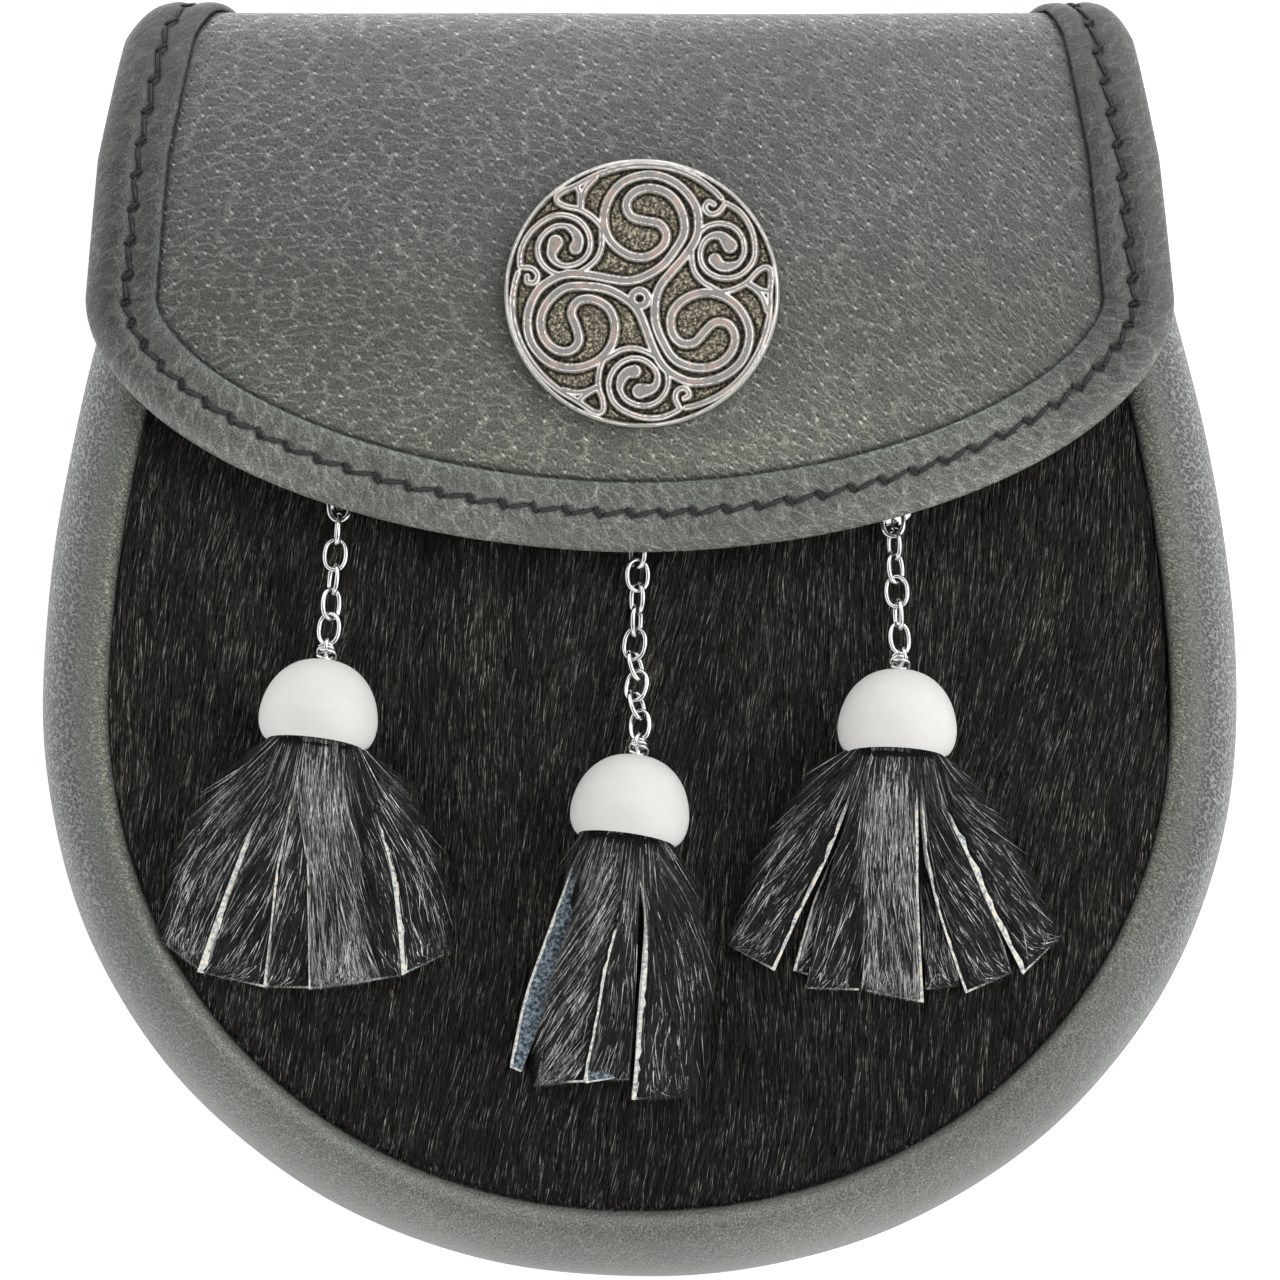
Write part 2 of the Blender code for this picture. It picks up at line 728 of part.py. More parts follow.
def chain_joints(drop):
    # Points where each link meets the next, evenly spaced along the chain's route. The last
    # link's end wire lies inside the eye's ring.
    route = [Vector((*drop["start"], link_rest(drop)))]
    route += [Vector(bend) for bend in drop["bends"]]
    centre, apex_way = eye_place(drop)
    count = len(drop["rolls"])
    route.append(centre + apex_way)
    spacing = sum((b - a).length for a, b in zip(route, route[1:])) / count
    way = (route[-2] - centre).normalized()
    past = LINK_HALF_LENGTH - LINK_WIRE - spacing / 2
    route[-1] = centre + way * (EYE_HOLD + past)
    lengths = [(b - a).length for a, b in zip(route, route[1:])]
    joints = []
    for mark in spaced(0.0, sum(lengths), count + 1):
        i = 0
        while i < len(lengths) - 1 and mark > lengths[i]:
            mark -= lengths[i]
            i += 1
        joints.append(route[i].lerp(route[i + 1], mark / lengths[i]))
    return joints


def make_chain(drop):
    ring = link_ring()
    joints = chain_joints(drop)
    for i, roll in enumerate(drop["rolls"]):
        run = (joints[i + 1] - joints[i]).normalized()
        side = run.cross(Vector((0.0, 0.0, 1.0))).normalized()
        turn = Matrix.Rotation(radians(roll), 3, run)
        side, up = turn @ side, turn @ side.cross(run)
        frame = Matrix((side, run, up)).transposed().to_4x4()
        middle = (joints[i] + joints[i + 1]) / 2
        name = f"link_{drop['name']}_{i + 1}"
        node = bpy.data.objects.new(name, wire_curve(ring, LINK_WIRE, True))
        PARTS.objects.link(node)
        node.data.materials.append(make_finish(name, "polished_metal"))
        node.matrix_world = Matrix.Translation(middle * MM) @ frame


def link_rest(drop):
    # Height of the first link's wire where it lies on the anchor's plate.
    return panel_top(*drop["start"]) + 2.4 * GAP + ANCHOR_PLATE + LINK_WIRE


def make_anchor(drop):
    # Staple over the first link's end, on a small plate that lies on the front panel.
    joints = chain_joints(drop)
    run = joints[0] - joints[1]
    past = LINK_HALF_LENGTH - LINK_WIRE - run.length / 2
    run.z = 0.0
    run.normalize()
    centre = joints[0] + run * past
    base = panel_top(centre.x, centre.y) + GAP
    form = bmesh.new()
    place = Matrix.Translation(Vector((centre.x, centre.y, base + ANCHOR_PLATE / 2)) * MM)
    radius = ANCHOR_PLATE_RADIUS * MM
    bmesh.ops.create_cone(form, cap_ends=True, segments=12, radius1=radius, radius2=radius,
                          depth=ANCHOR_PLATE * MM, matrix=place)
    plate = bpy.data.meshes.new("plate")
    form.to_mesh(plate)
    form.free()
    bend_z = link_rest(drop) + LINK_WIRE + GAP + EYE_WIRE - ANCHOR_ARCH
    arch = [centre + run * ANCHOR_ARCH * cos(angle) + Vector((0, 0, bend_z + ANCHOR_ARCH * sin(angle) - centre.z))
            for angle in spaced(0.0, pi, 7)]
    for end, at in ((0, 0), (-1, len(arch) + 1)):
        arch.insert(at, Vector((arch[end].x, arch[end].y, base + ANCHOR_PLATE * 0.6)))
    return fused(f"anchor_{drop['name']}", [plate, wire_mesh(arch, EYE_WIRE, False)], "polished_metal")


def drop_frame(drop):
    # The cap lies on its side. Its axis runs from the rim to the apex, nodding down a little.
    tilt, nod = radians(drop["tilt"]), radians(CAP_NOD)
    apex_way = Vector((sin(tilt) * cos(nod), cos(tilt) * cos(nod), -sin(nod)))
    side = Vector((cos(tilt), -sin(tilt), 0.0))
    x, y = drop["rim"]
    below = max(radius * cos(nod) + height * sin(nod) for radius, height in CAP_PROFILE)
    rim = Vector((x, y, panel_top(x, y) + GAP + below))
    frame = Matrix((side, apex_way.cross(side), apex_way)).transposed().to_4x4()
    return rim, apex_way, frame


def eye_place(drop):
    rim, apex_way, _ = drop_frame(drop)
    return rim + apex_way * (CAP_HEIGHT + EYE_STAND_OFF + EYE_RADIUS), apex_way


def make_cap(drop):
    rim, _, frame = drop_frame(drop)
    mesh = bpy.data.meshes.new("cap")
    verts = [(radius * MM, 0.0, height * MM) for radius, height in CAP_PROFILE]
    edges = [(i, i + 1) for i in range(len(verts) - 1)]
    mesh.from_pydata(verts, edges, [])
    node = bpy.data.objects.new(f"cap_{drop['name']}", mesh)
    PARTS.objects.link(node)
    turn = node.modifiers.new("turn", "SCREW")
    turn.steps = CAP_STEPS
    turn.render_steps = CAP_STEPS
    turn.use_merge_vertices = True
    turn.merge_threshold = 0.00001
    turn.use_smooth_shade = True
    add_solidify(node, CAP_WALL, -1.0)
    node.matrix_world = Matrix.Translation(rim * MM) @ frame
    mesh.materials.append(make_finish(node.name, "polished_metal"))
    return node


def make_eye(drop):
    # Wire ring over the apex, on a shank that goes down through the cap's hole.
    centre, apex_way = eye_place(drop)
    side = apex_way.cross(Vector((0.0, 0.0, 1.0))).normalized()
    loop = [(EYE_RADIUS * cos(angle), EYE_RADIUS * sin(angle), 0.0)
            for angle in spaced(0.0, 2 * pi, 11)[:-1]]
    ring = wire_mesh(loop, EYE_WIRE, True)
    turn = Matrix.Rotation(radians(drop["eye_turn"]), 3, apex_way)
    lateral = turn @ side.cross(apex_way)
    place = Matrix((lateral, apex_way, lateral.cross(apex_way))).transposed().to_4x4()
    ring.transform(Matrix.Translation(centre * MM) @ place)
    start = centre - apex_way * EYE_RADIUS
    shank = wire_mesh([start, start - apex_way * EYE_SHANK], EYE_WIRE * 1.5, False)
    return fused(f"eye_{drop['name']}", [ring, shank], "polished_metal")


def strip_mesh(root, tip, width, lift):
    # One strip of hide: it leaves the core, sinks to the fur and widens to its cut end.
    run = tip - root
    run.z = 0.0
    run.normalize()
    across = Vector((-run.y, run.x, 0.0))
    thick = STRIP_THICKNESS / 2
    rings = []
    for share in spaced(0.0, 1.0, STRIP_STATIONS):
        middle = root.lerp(tip, share)
        middle.z = tip.z + (root.z - tip.z) * (1 - share) ** 1.6
        angle = radians(lift) * share
        side = across * cos(angle) + Vector((0.0, 0.0, sin(angle)))
        up = run.cross(side)
        half = (STRIP_ROOT_WIDTH + (width - STRIP_ROOT_WIDTH) * share) / 2
        rings.append([
            middle - side * half - up * thick, middle + side * half - up * thick,
            middle + side * half + up * thick, middle - side * half + up * thick,
        ])
    return loft_mesh("strip", rings)


def make_tassel(drop):
    rim, apex_way, _ = drop_frame(drop)
    level_way = Vector((apex_way.x, apex_way.y, 0.0)).normalized()
    side = Vector((level_way.y, -level_way.x, 0.0))
    up = Vector((0.0, 0.0, 1.0))
    rings = []
    for out, half_width, half_height, sink in TASSEL_CORE:
        middle = rim - (apex_way if out < 0 else level_way) * out - up * sink
        rings.append([middle + side * half_width * cos(angle) + up * half_height * sin(angle)
                      for angle in spaced(0.0, 2 * pi, 13)[:-1]])
    solids = [triangulated(loft_mesh("core", rings))]
    ends = [Vector((x, y, 0.0)) for x, y, _, _ in drop["strips"]]
    centre = sum(ends, Vector()) / len(ends)
    spread = max((end - centre).length for end in ends)
    for i, (x, y, width, lift) in enumerate(drop["strips"]):
        across = (Vector((x, y, 0.0)) - centre).dot(side) / spread
        raised = 1.4 * (1 - across ** 2) + 0.6 * (i % 2)
        root = rim - level_way * 2.0 + side * across * 5.0 + up * (raised * 1.6 - 1.5)
        rest = panel_top(x, y) + 1.2 + width / 2 * sin(radians(lift)) + raised * 0.6
        solids.append(triangulated(strip_mesh(root, Vector((x, y, rest)), width, lift)))
    return fused(f"tassel_{drop['name']}", solids, "haired_hide", 30.0)


clear_scene()
PARTS = make_collection("sporran_pouch")
CUTTERS = make_collection("tools")
make_gusset()
make_front_panel()
make_back_and_flap()
make_binding()
make_medallion()
make_stud()
make_belt_loop("belt_loop_left", -LOOP_X)
make_belt_loop("belt_loop_right", LOOP_X)
for each_drop in DROPS:
    make_anchor(each_drop)
    make_chain(each_drop)
    make_eye(each_drop)
    make_cap(each_drop)
    make_tassel(each_drop)
bpy.data.collections.remove(CUTTERS)
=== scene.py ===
# Sporran pouch in grey leather with a black fur front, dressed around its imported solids.
# Everything is in metres: +X right, +Y toward the fold at the top, +Z out of the front.
from math import atan2, cos, hypot, pi, radians, sin

import bpy
import numpy as np
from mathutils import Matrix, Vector


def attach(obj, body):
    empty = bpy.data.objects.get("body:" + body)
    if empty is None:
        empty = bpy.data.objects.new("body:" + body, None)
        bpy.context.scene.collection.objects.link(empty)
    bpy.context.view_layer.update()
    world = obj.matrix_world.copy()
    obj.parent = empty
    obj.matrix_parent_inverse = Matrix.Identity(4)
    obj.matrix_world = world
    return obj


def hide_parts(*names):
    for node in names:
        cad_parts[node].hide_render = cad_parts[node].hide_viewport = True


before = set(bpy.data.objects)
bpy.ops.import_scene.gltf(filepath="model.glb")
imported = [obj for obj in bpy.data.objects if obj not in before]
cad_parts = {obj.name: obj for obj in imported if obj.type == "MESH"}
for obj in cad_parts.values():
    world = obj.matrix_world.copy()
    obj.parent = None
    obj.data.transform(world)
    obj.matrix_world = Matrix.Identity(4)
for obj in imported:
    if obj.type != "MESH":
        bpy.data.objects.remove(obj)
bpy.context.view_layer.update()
mm = 0.001
scene = bpy.context.scene


# Small helpers

def deselectAll():
    if bpy.context.object and bpy.context.object.mode != "OBJECT":
        bpy.ops.object.mode_set(mode="OBJECT")
    bpy.ops.object.select_all(action="DESELECT")


def pick(piece):
    deselectAll()
    piece.select_set(True)
    bpy.context.view_layer.objects.active = piece


def linearColour(hexText):
    parts = [int(hexText[i:i + 2], 16) / 255 for i in (1, 3, 5)]
    return tuple(c / 12.92 if c <= 0.04045 else ((c + 0.055) / 1.055) ** 2.4 for c in parts) + (1.0,)


def applyAll(piece):
    pick(piece)
    for modifier in list(piece.modifiers):
        bpy.ops.object.modifier_apply(modifier=modifier.name)


def smoothPiece(piece, angle=None):
    pick(piece)
    if angle is None:
        bpy.ops.object.shade_smooth()
    else:
        bpy.ops.object.shade_smooth_by_angle(angle=radians(angle))


def faceOutward(piece, merge=0.00001):
    pick(piece)
    bpy.ops.object.mode_set(mode="EDIT")
    bpy.ops.mesh.select_all(action="SELECT")
    if merge:
        bpy.ops.mesh.remove_doubles(threshold=merge)
    bpy.ops.mesh.normals_make_consistent(inside=False)
    bpy.ops.object.mode_set(mode="OBJECT")


def readPoints(piece):
    points = np.empty(len(piece.data.vertices) * 3, dtype=np.float32)
    piece.data.vertices.foreach_get("co", points)
    return points.reshape(-1, 3).astype(float)


def writePoints(piece, points):
    piece.data.vertices.foreach_set("co", np.asarray(points, dtype=np.float32).ravel())
    piece.data.update()


def writeMap(piece, perVertex):
    # Lays the piece's own UV map out in the values given for each vertex.
    mesh = piece.data
    corners = np.empty(len(mesh.loops), dtype=np.int32)
    mesh.loops.foreach_get("vertex_index", corners)
    layer = mesh.uv_layers.active or mesh.uv_layers.new(name="UVMap")
    layer.uv.foreach_set("vector", np.asarray(perVertex, dtype=np.float32)[corners].ravel())


def writeValues(mesh, name, values):
    layer = mesh.attributes.new(name, "FLOAT", "POINT")
    layer.data.foreach_set("value", np.asarray(values, dtype=np.float32))


def flipFaces(piece):
    pick(piece)
    bpy.ops.object.mode_set(mode="EDIT")
    bpy.ops.mesh.select_all(action="SELECT")
    bpy.ops.mesh.flip_normals()
    bpy.ops.object.mode_set(mode="OBJECT")


def giveWall(piece, thickness, offset=-1.0):
    # The skin becomes a wall of that many millimetres, grown inward unless the offset says otherwise.
    wall = piece.modifiers.new("wall", "SOLIDIFY")
    wall.thickness = thickness * mm
    wall.offset = offset
    applyAll(piece)


def gridPiece(name, columns, rows, place):
    # A grid of faces whose points are then laid on the shape: place takes u and v from 0 to 1
    # and gives the point in millimetres and the pattern's place on the leather in millimetres.
    deselectAll()
    bpy.ops.mesh.primitive_grid_add(x_subdivisions=columns, y_subdivisions=rows, size=2)
    piece = bpy.context.object
    piece.name = name
    piece.data.name = name
    flat = readPoints(piece)
    points, pattern = place((flat[:, 0] + 1) / 2, (flat[:, 1] + 1) / 2)
    writePoints(piece, points * mm)
    writeMap(piece, pattern * mm)
    return piece


def finishPiece(piece, material, slot, *replaced):
    piece.data.materials.clear()
    piece.data.materials.append(material)
    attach(piece, "root")
    if replaced:
        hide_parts(*replaced)
    return piece


def stepLengths(points):
    return np.sqrt((np.diff(points, axis=0) ** 2).sum(1))


def runMarks(points):
    # Length of the run up to each point of a polyline.
    return np.concatenate([[0], np.cumsum(stepLengths(points))])


def along(points, share):
    # Points at the given shares of a polyline's length.
    marks = runMarks(points)
    return np.stack([np.interp(share * marks[-1], marks, column) for column in points.T], 1)


def curved(points, perSpan=8, closed=False):
    # Smooth run through a few points.
    points = np.asarray(points, dtype=float)
    if closed:
        ring = np.concatenate([points[-1:], points, points[:2]])
    else:
        ring = np.concatenate([2 * points[:1] - points[1:2], points, 2 * points[-1:] - points[-2:-1]])
    out = []
    for i in range(len(ring) - 3):
        p0, p1, p2, p3 = ring[i:i + 4]
        for t in np.arange(perSpan) / perSpan:
            out.append(0.5 * (2 * p1 + (p2 - p0) * t + (2 * p0 - 5 * p1 + 4 * p2 - p3) * t * t
                              + (3 * p1 - p0 - 3 * p2 + p3) * t ** 3))
    if not closed:
        out.append(points[-1])
    return np.array(out)


def inwardWay(points):
    run = np.gradient(points, axis=0)
    run /= np.maximum(1e-9, np.sqrt((run ** 2).sum(1)))[:, None]
    return np.stack([run[:, 1], -run[:, 0]], 1)


def ripple(x, y, size, seed):
    # Smooth unevenness from -1 to 1, with bumps of about the given size.
    rng = np.random.default_rng(seed)
    total = np.zeros_like(x)
    for _ in range(9):
        angle, phase = rng.uniform(0, 2 * pi, 2)
        pitch = size * rng.uniform(0.7, 1.6)
        total += np.sin((x * cos(angle) + y * sin(angle)) * 2 * pi / pitch + phase)
    return total / 4.5


# Materials

def grey(value):
    return (value, value, value, 1.0)


def fillRamp(ramp, stops):
    # Each stop is a place from 0 to 1 with a grey value, a hex colour or three linear channels.
    while len(ramp.elements) < len(stops):
        ramp.elements.new(0.5)
    for element, (place, tone) in zip(ramp.elements, stops):
        if isinstance(tone, str):
            tone = linearColour(tone)
        elif isinstance(tone, (int, float)):
            tone = grey(tone)
        element.position = place
        element.color = (*tone[:3], 1.0)


def addNode(tree, kind, values=None, output=0):
    # Values go by the name of a property or the name or number of a socket. One that is itself a
    # socket is linked in. Gives the wanted output socket of the new node.
    node = tree.nodes.new(kind)
    for key, value in (values or {}).items():
        if key == "stops":
            fillRamp(node.color_ramp, value)
        elif isinstance(value, bpy.types.NodeSocket):
            tree.links.new(value, node.inputs[key])
        elif isinstance(key, str) and hasattr(node, key):
            setattr(node, key, value)
        else:
            node.inputs[key].default_value = value
    return node.outputs[output]


def startMaterial(name, settings):
    material = bpy.data.materials.new(name)
    material.use_nodes = True
    shader = material.node_tree.nodes["Principled BSDF"]
    for key, value in settings.items():
        shader.inputs[key].default_value = value
    return material, material.node_tree, shader


leather = {
    "base": "#565852",
    "cloud": "#60625C",
    "poreSpacing": 2.0,      # mm between rows of hair pores
    "poreLipHighlight": 0.0005,       # m from a pore's painted shade down to the painted highlight on its raised lip
    "lineSpacing": 2.3,      # mm across the cells that hairline creases outline
    "pebble": 0.5,           # mm across one pebble of the fine grain, coarser than real so that it shows
    "pits": 0.55,            # mm between the pits of the rolled edge
    "openPores": 3.4,        # mm between the few open pores at the bottom
    "wander": 0.0014,        # m by which the grain strays
    "roughness": 0.44,
}


def leatherMaterial(name, pores=0.0, lines=0.5, pebble=0.05, roll=False, flat=True, strip=0.0, seam=False):
    # Chrome-tanned pigskin, pigment dyed and lightly glazed: hair pores in loose diagonal rows, hairline
    # creases that catch the light, and a fine pebble in between; pores and creases carry painted highlights
    # and shade.
    # Heights are in millimetres.
    # roll, strip (its length in metres) and seam add what only one of the pieces shows. The scale of a
    # noise is its repeats to the metre.
    material, tree, shader = startMaterial(name, {
        "Roughness": leather["roughness"], "Specular IOR Level": 0.75, "IOR": 1.5,
    })
    size = "2D" if flat else "3D"
    place = addNode(tree, "ShaderNodeUVMap") if flat else addNode(tree, "ShaderNodeTexCoord", output="Object")
    wander = addNode(tree, "ShaderNodeTexNoise", {
        "noise_dimensions": size, "Scale": 420.0, "Detail": 1.0, "Vector": place}, "Color")
    moved = addNode(tree, "ShaderNodeVectorMath", {
        "operation": "MULTIPLY_ADD", 0: wander, 1: (leather["wander"], leather["wander"], 0.0), 2: place})
    patch = addNode(tree, "ShaderNodeTexNoise", {
        "noise_dimensions": size, "Scale": 150.0, "Detail": 1.0, "Vector": place})
    dye = addNode(tree, "ShaderNodeTexNoise", {
        "noise_dimensions": size, "Scale": 24.0, "Detail": 2.0, "Vector": place})
    surface = {"height": 0.0, "colour": addNode(tree, "ShaderNodeValToRGB", {
        0: dye, "stops": ((0.3, leather["base"]), (0.72, leather["cloud"]))})}

    def net(pitch, way, angle=0, stretch=1.0, spread=1.0, feature="F1"):
        # Distance in a net of cells of the given pitch in millimetres, drawn out by stretch along an
        # axis turned by the angle.
        if stretch != 1.0:
            way = addNode(tree, "ShaderNodeMapping", {
                "vector_type": "TEXTURE", "Rotation": (0.0, 0.0, radians(angle)),
                "Scale": (stretch, 1.0, 1.0), "Vector": way})
        return addNode(tree, "ShaderNodeTexVoronoi", {
            "voronoi_dimensions": size, "feature": feature, "Scale": 1000 / pitch, "Randomness": spread,
            "Vector": way}, "Distance")

    def tint(amount, source, stops):
        # Multiplies the colour by the tones that the source picks from the stops.
        tones = addNode(tree, "ShaderNodeValToRGB", {0: source, "stops": stops})
        surface["colour"] = addNode(tree, "ShaderNodeMix", {
            "data_type": "RGBA", "blend_type": "MULTIPLY", 0: amount, 6: surface["colour"], 7: tones}, 2)

    def raised(height, amount):
        surface["height"] = addNode(tree, "ShaderNodeMath", {
            "operation": "MULTIPLY_ADD", 0: height, 1: amount, 2: surface["height"]})

    # Fibre-fine unevenness of the dye, and the pebble grain.
    speck = addNode(tree, "ShaderNodeTexNoise", {
        "noise_dimensions": size, "Scale": 2900.0, "Detail": 2.0, "Roughness": 0.7, "Vector": place})
    tint(1.0, speck, ((0.3, 0.42), (0.5, 0.98), (0.7, 1.8)))
    raised(net(leather["pebble"], moved, feature="SMOOTH_F1"), pebble)
    # Hairline creases: a close net of flat scales, and longer ones on the bias, both broken up by patches.
    # They are drawn wider than real ones, so that they show, and their lines are painted lighter as a painted
    # highlight.
    some = addNode(tree, "ShaderNodeValToRGB", {0: patch, "stops": ((0.2, 0.25), (0.46, 1.0))})
    way, scales, bias = moved, (22, 1.9), (46, 3.2)
    if seam:
        # On the flap they swing round, from slightly rising at the left to falling at the right.
        across, down, _ = addNode(tree, "ShaderNodeSeparateXYZ", {0: moved}).node.outputs
        bend = addNode(tree, "ShaderNodeMath", {"operation": "MULTIPLY_ADD", 0: across, 1: 3.7, 2: 0.355})
        sink = addNode(tree, "ShaderNodeMath", {"operation": "MULTIPLY", 0: across, 1: bend})
        swung = addNode(tree, "ShaderNodeMath", {"operation": "SUBTRACT", 0: down, 1: sink})
        way = addNode(tree, "ShaderNodeCombineXYZ", {0: across, 1: swung})
        scales, bias = (0, 2.0), (4, 3.2)
    for pitch, (angle, stretch), width, creaseHighlight in ((0.62, scales, 0.15, 1.45), (0.8, bias, 0.13, 2.0)):
        found = net(leather["lineSpacing"] * pitch, way, angle, stretch, feature="DISTANCE_TO_EDGE")
        line = addNode(tree, "ShaderNodeValToRGB", {
            0: found, "stops": ((0.0, 1.0), (width * 0.5, 0.6), (width, 0.0))})
        mask = addNode(tree, "ShaderNodeMath", {"operation": "MULTIPLY", 0: line, 1: some})
        # Painted highlight: the crease lines are lightened where they catch the light.
        tint(lines, mask, ((0.0, 1.0), (1.0, creaseHighlight)))
        raised(mask, 0.03 * lines)
    if pores:
        # Each pore is a dark prick of painted shade, with a painted highlight on its pale raised lip just
        # below it.
        lower = addNode(tree, "ShaderNodeMapping", {
            "Location": (0.0, leather["poreLipHighlight"], 0.0), "Vector": place})
        for way, stops, lift in ((place, ((0.0, 2.8), (0.08, 2.3), (0.15, 1.0)), -0.12),
                                 (lower, ((0.0, 0.25), (0.07, 0.4), (0.14, 1.0)), 0.12)):
            found = net(leather["poreSpacing"], way, 50, 1.5, 0.6)
            tint(pores, found, stops)
            around = addNode(tree, "ShaderNodeValToRGB", {0: found, "stops": ((0.0, 0.0), (0.16, 1.0))})
            raised(around, lift * pores)
    if roll:
        # Stretched grain of the rolled edge. The long sides are pitted, with short cross wrinkles along the
        # crest; the bottom is smooth with a few open pores. Much of their colour is painted light and shade,
        # as noted at each tint.
        across, down, _ = addNode(tree, "ShaderNodeSeparateXYZ", {0: place}).node.outputs
        far = addNode(tree, "ShaderNodeMath", {"operation": "MULTIPLY", 0: down, 1: 1 / 0.04})
        run = addNode(tree, "ShaderNodeMath", {"operation": "MULTIPLY", 0: across, 1: 1 / 0.5})
        sides = addNode(tree, "ShaderNodeValToRGB", {
            0: run, "stops": ((0.24, 1.0), (0.38, 0.0), (0.62, 0.0), (0.76, 1.0))})
        below = addNode(tree, "ShaderNodeMath", {"operation": "SUBTRACT", 0: 1.0, 1: sides})
        # Long sides: painted shade by the seam, a painted highlight on the crest, and a pale bluish painted
        # reflection outside.
        tint(sides, far, (
            (0.09, 0.35), (0.125, 0.8), (0.155, (1.25, 1.2, 1.06)), (0.19, (0.85, 0.87, 0.81)), (0.25, 0.76),
            (0.3, (1.0, 1.04, 1.05)), (0.42, (1.25, 1.32, 1.38)), (0.52, (1.5, 1.6, 1.68)), (0.68, 0.95)))
        # Bottom: painted shade, darker by the seam and further out.
        tint(below, far, ((0.1, 0.53), (0.16, 0.97), (0.26, 0.97), (0.42, 0.83), (0.6, 0.65)))
        pitted = addNode(tree, "ShaderNodeValToRGB", {
            0: net(leather["pits"], moved, 62, 1.8), "stops": ((0.0, 1.0), (0.35, 0.6), (0.55, 0.0))})
        outer = addNode(tree, "ShaderNodeValToRGB", {
            0: far, "stops": ((0.23, 0.1), (0.3, 1.0), (0.55, 1.0), (0.68, 0.35))})
        outerSides = addNode(tree, "ShaderNodeMath", {"operation": "MULTIPLY", 0: outer, 1: sides})
        pit = addNode(tree, "ShaderNodeMath", {"operation": "MULTIPLY", 0: pitted, 1: outerSides})
        # The pits are darkened as painted shade.
        tint(1.0, pit, ((0.0, 1.25), (0.3, 0.95), (0.75, 0.25)))
        raised(pit, -0.2)
        turned = addNode(tree, "ShaderNodeMapping", {
            "vector_type": "TEXTURE", "Rotation": (0.0, 0.0, radians(70)), "Scale": (2.4, 1.0, 1.0),
            "Vector": moved})
        folds = addNode(tree, "ShaderNodeTexNoise", {
            "noise_dimensions": size, "Scale": 2500.0, "Detail": 2.0, "Roughness": 0.65, "Vector": turned})
        crest = addNode(tree, "ShaderNodeValToRGB", {
            0: far, "stops": ((0.1, 0.3), (0.13, 1.0), (0.18, 1.0), (0.22, 0.35), (1.0, 0.6))})
        crestSides = addNode(tree, "ShaderNodeMath", {"operation": "MULTIPLY", 0: crest, 1: sides})
        raised(addNode(tree, "ShaderNodeMath", {"operation": "MULTIPLY", 0: folds, 1: crestSides}), 0.3)
        # The crest's wrinkles carry painted highlights and painted shade.
        tint(crestSides, folds, ((0.36, 0.62), (0.5, 1.0), (0.64, 1.7)))
        # The open pores are darkened as painted shade.
        tint(below, net(leather["openPores"], place), ((0.0, 0.35), (0.035, 0.45), (0.06, 1.0)))
    if strip:
        # The strip's cut inner edge shows a paler core, with painted shade at its foot and a painted
        # highlight along its top corner; the outer fold carries a painted highlight. Up the flap's sides the
        # strip is darker.
        across, down, _ = addNode(tree, "ShaderNodeSeparateXYZ", {0: place}).node.outputs
        girth = addNode(tree, "ShaderNodeMath", {"operation": "MULTIPLY", 0: down, 1: 1 / 0.02})
        tint(1.0, girth, ((0.0, 0.5), (0.03, 0.85), (0.055, "#E6F7F3"), (0.09, 1.0)))
        tint(1.0, girth, ((0.0, 1.0), (0.032, 1.0), (0.048, 1.9), (0.07, 1.0), (0.5, 1.0), (0.6, 1.5),
                          (0.68, 1.45), (0.8, 1.0)))
        run = addNode(tree, "ShaderNodeMath", {"operation": "MULTIPLY", 0: across, 1: 1 / strip})
        tint(1.0, run, ((0.0, 0.33), (0.19, 0.37), (0.3, 0.95), (0.7, 0.95), (0.81, 0.35), (1.0, 0.31)))
        turned = addNode(tree, "ShaderNodeMapping", {
            "vector_type": "TEXTURE", "Rotation": (0.0, 0.0, radians(70)), "Scale": (4.0, 1.0, 1.0),
            "Vector": moved})
        folds = addNode(tree, "ShaderNodeTexNoise", {
            "noise_dimensions": size, "Scale": 900.0, "Detail": 2.0, "Roughness": 0.6, "Vector": turned})
        # The creases carry painted highlights and painted shade.
        tint(0.8, folds, ((0.36, 0.78), (0.5, 1.0), (0.62, 1.25)))
        raised(folds, 0.12)
    if seam:
        # Painted shade along the foot of the binding. Along the run, a painted highlight with a pale bluish
        # painted reflection over the fold, and painted shade over the upper and middle front.
        gap = addNode(tree, "ShaderNodeAttribute", {"attribute_name": "bindingGap"}, "Fac")
        close = addNode(tree, "ShaderNodeMath", {"operation": "MULTIPLY", 0: gap, 1: 0.5})
        tint(1.0, close, ((0.0, 0.12), (0.3, 0.25), (0.5, 0.85), (0.8, 1.0)))
        _, down, _ = addNode(tree, "ShaderNodeSeparateXYZ", {0: place}).node.outputs
        run = addNode(tree, "ShaderNodeMath", {"operation": "MULTIPLY", 0: down, 1: 1 / 0.3})
        tint(1.0, run, (
            (0.59, (0.8, 0.8, 0.84)), (0.645, (1.5, 1.49, 1.7)), (0.658, (1.58, 1.56, 1.8)),
            (0.69, (0.66, 0.65, 0.725)), (0.74, (0.64, 0.635, 0.67)), (0.85, (0.655, 0.655, 0.645)),
            (0.915, (1.04, 1.04, 0.96))))
    bump = addNode(tree, "ShaderNodeBump", {"Strength": 1.0, "Distance": mm, "Height": surface["height"]})
    tree.links.new(surface["colour"], shader.inputs["Base Color"])
    tree.links.new(bump, shader.inputs["Normal"])
    return material


flapLeather = leatherMaterial("dyedPigskinFlap", pores=1.0, lines=0.9, pebble=0.05, seam=True)
rollLeather = leatherMaterial("dyedPigskinRoll", lines=0.25, pebble=0.12, roll=True)
backLeather = leatherMaterial("dyedPigskinBack", lines=0.5, pebble=0.06, flat=False)


# Camera and light

view = {"distance": 1.6, "frameWidth": 0.2048, "planeHeight": 0.02}


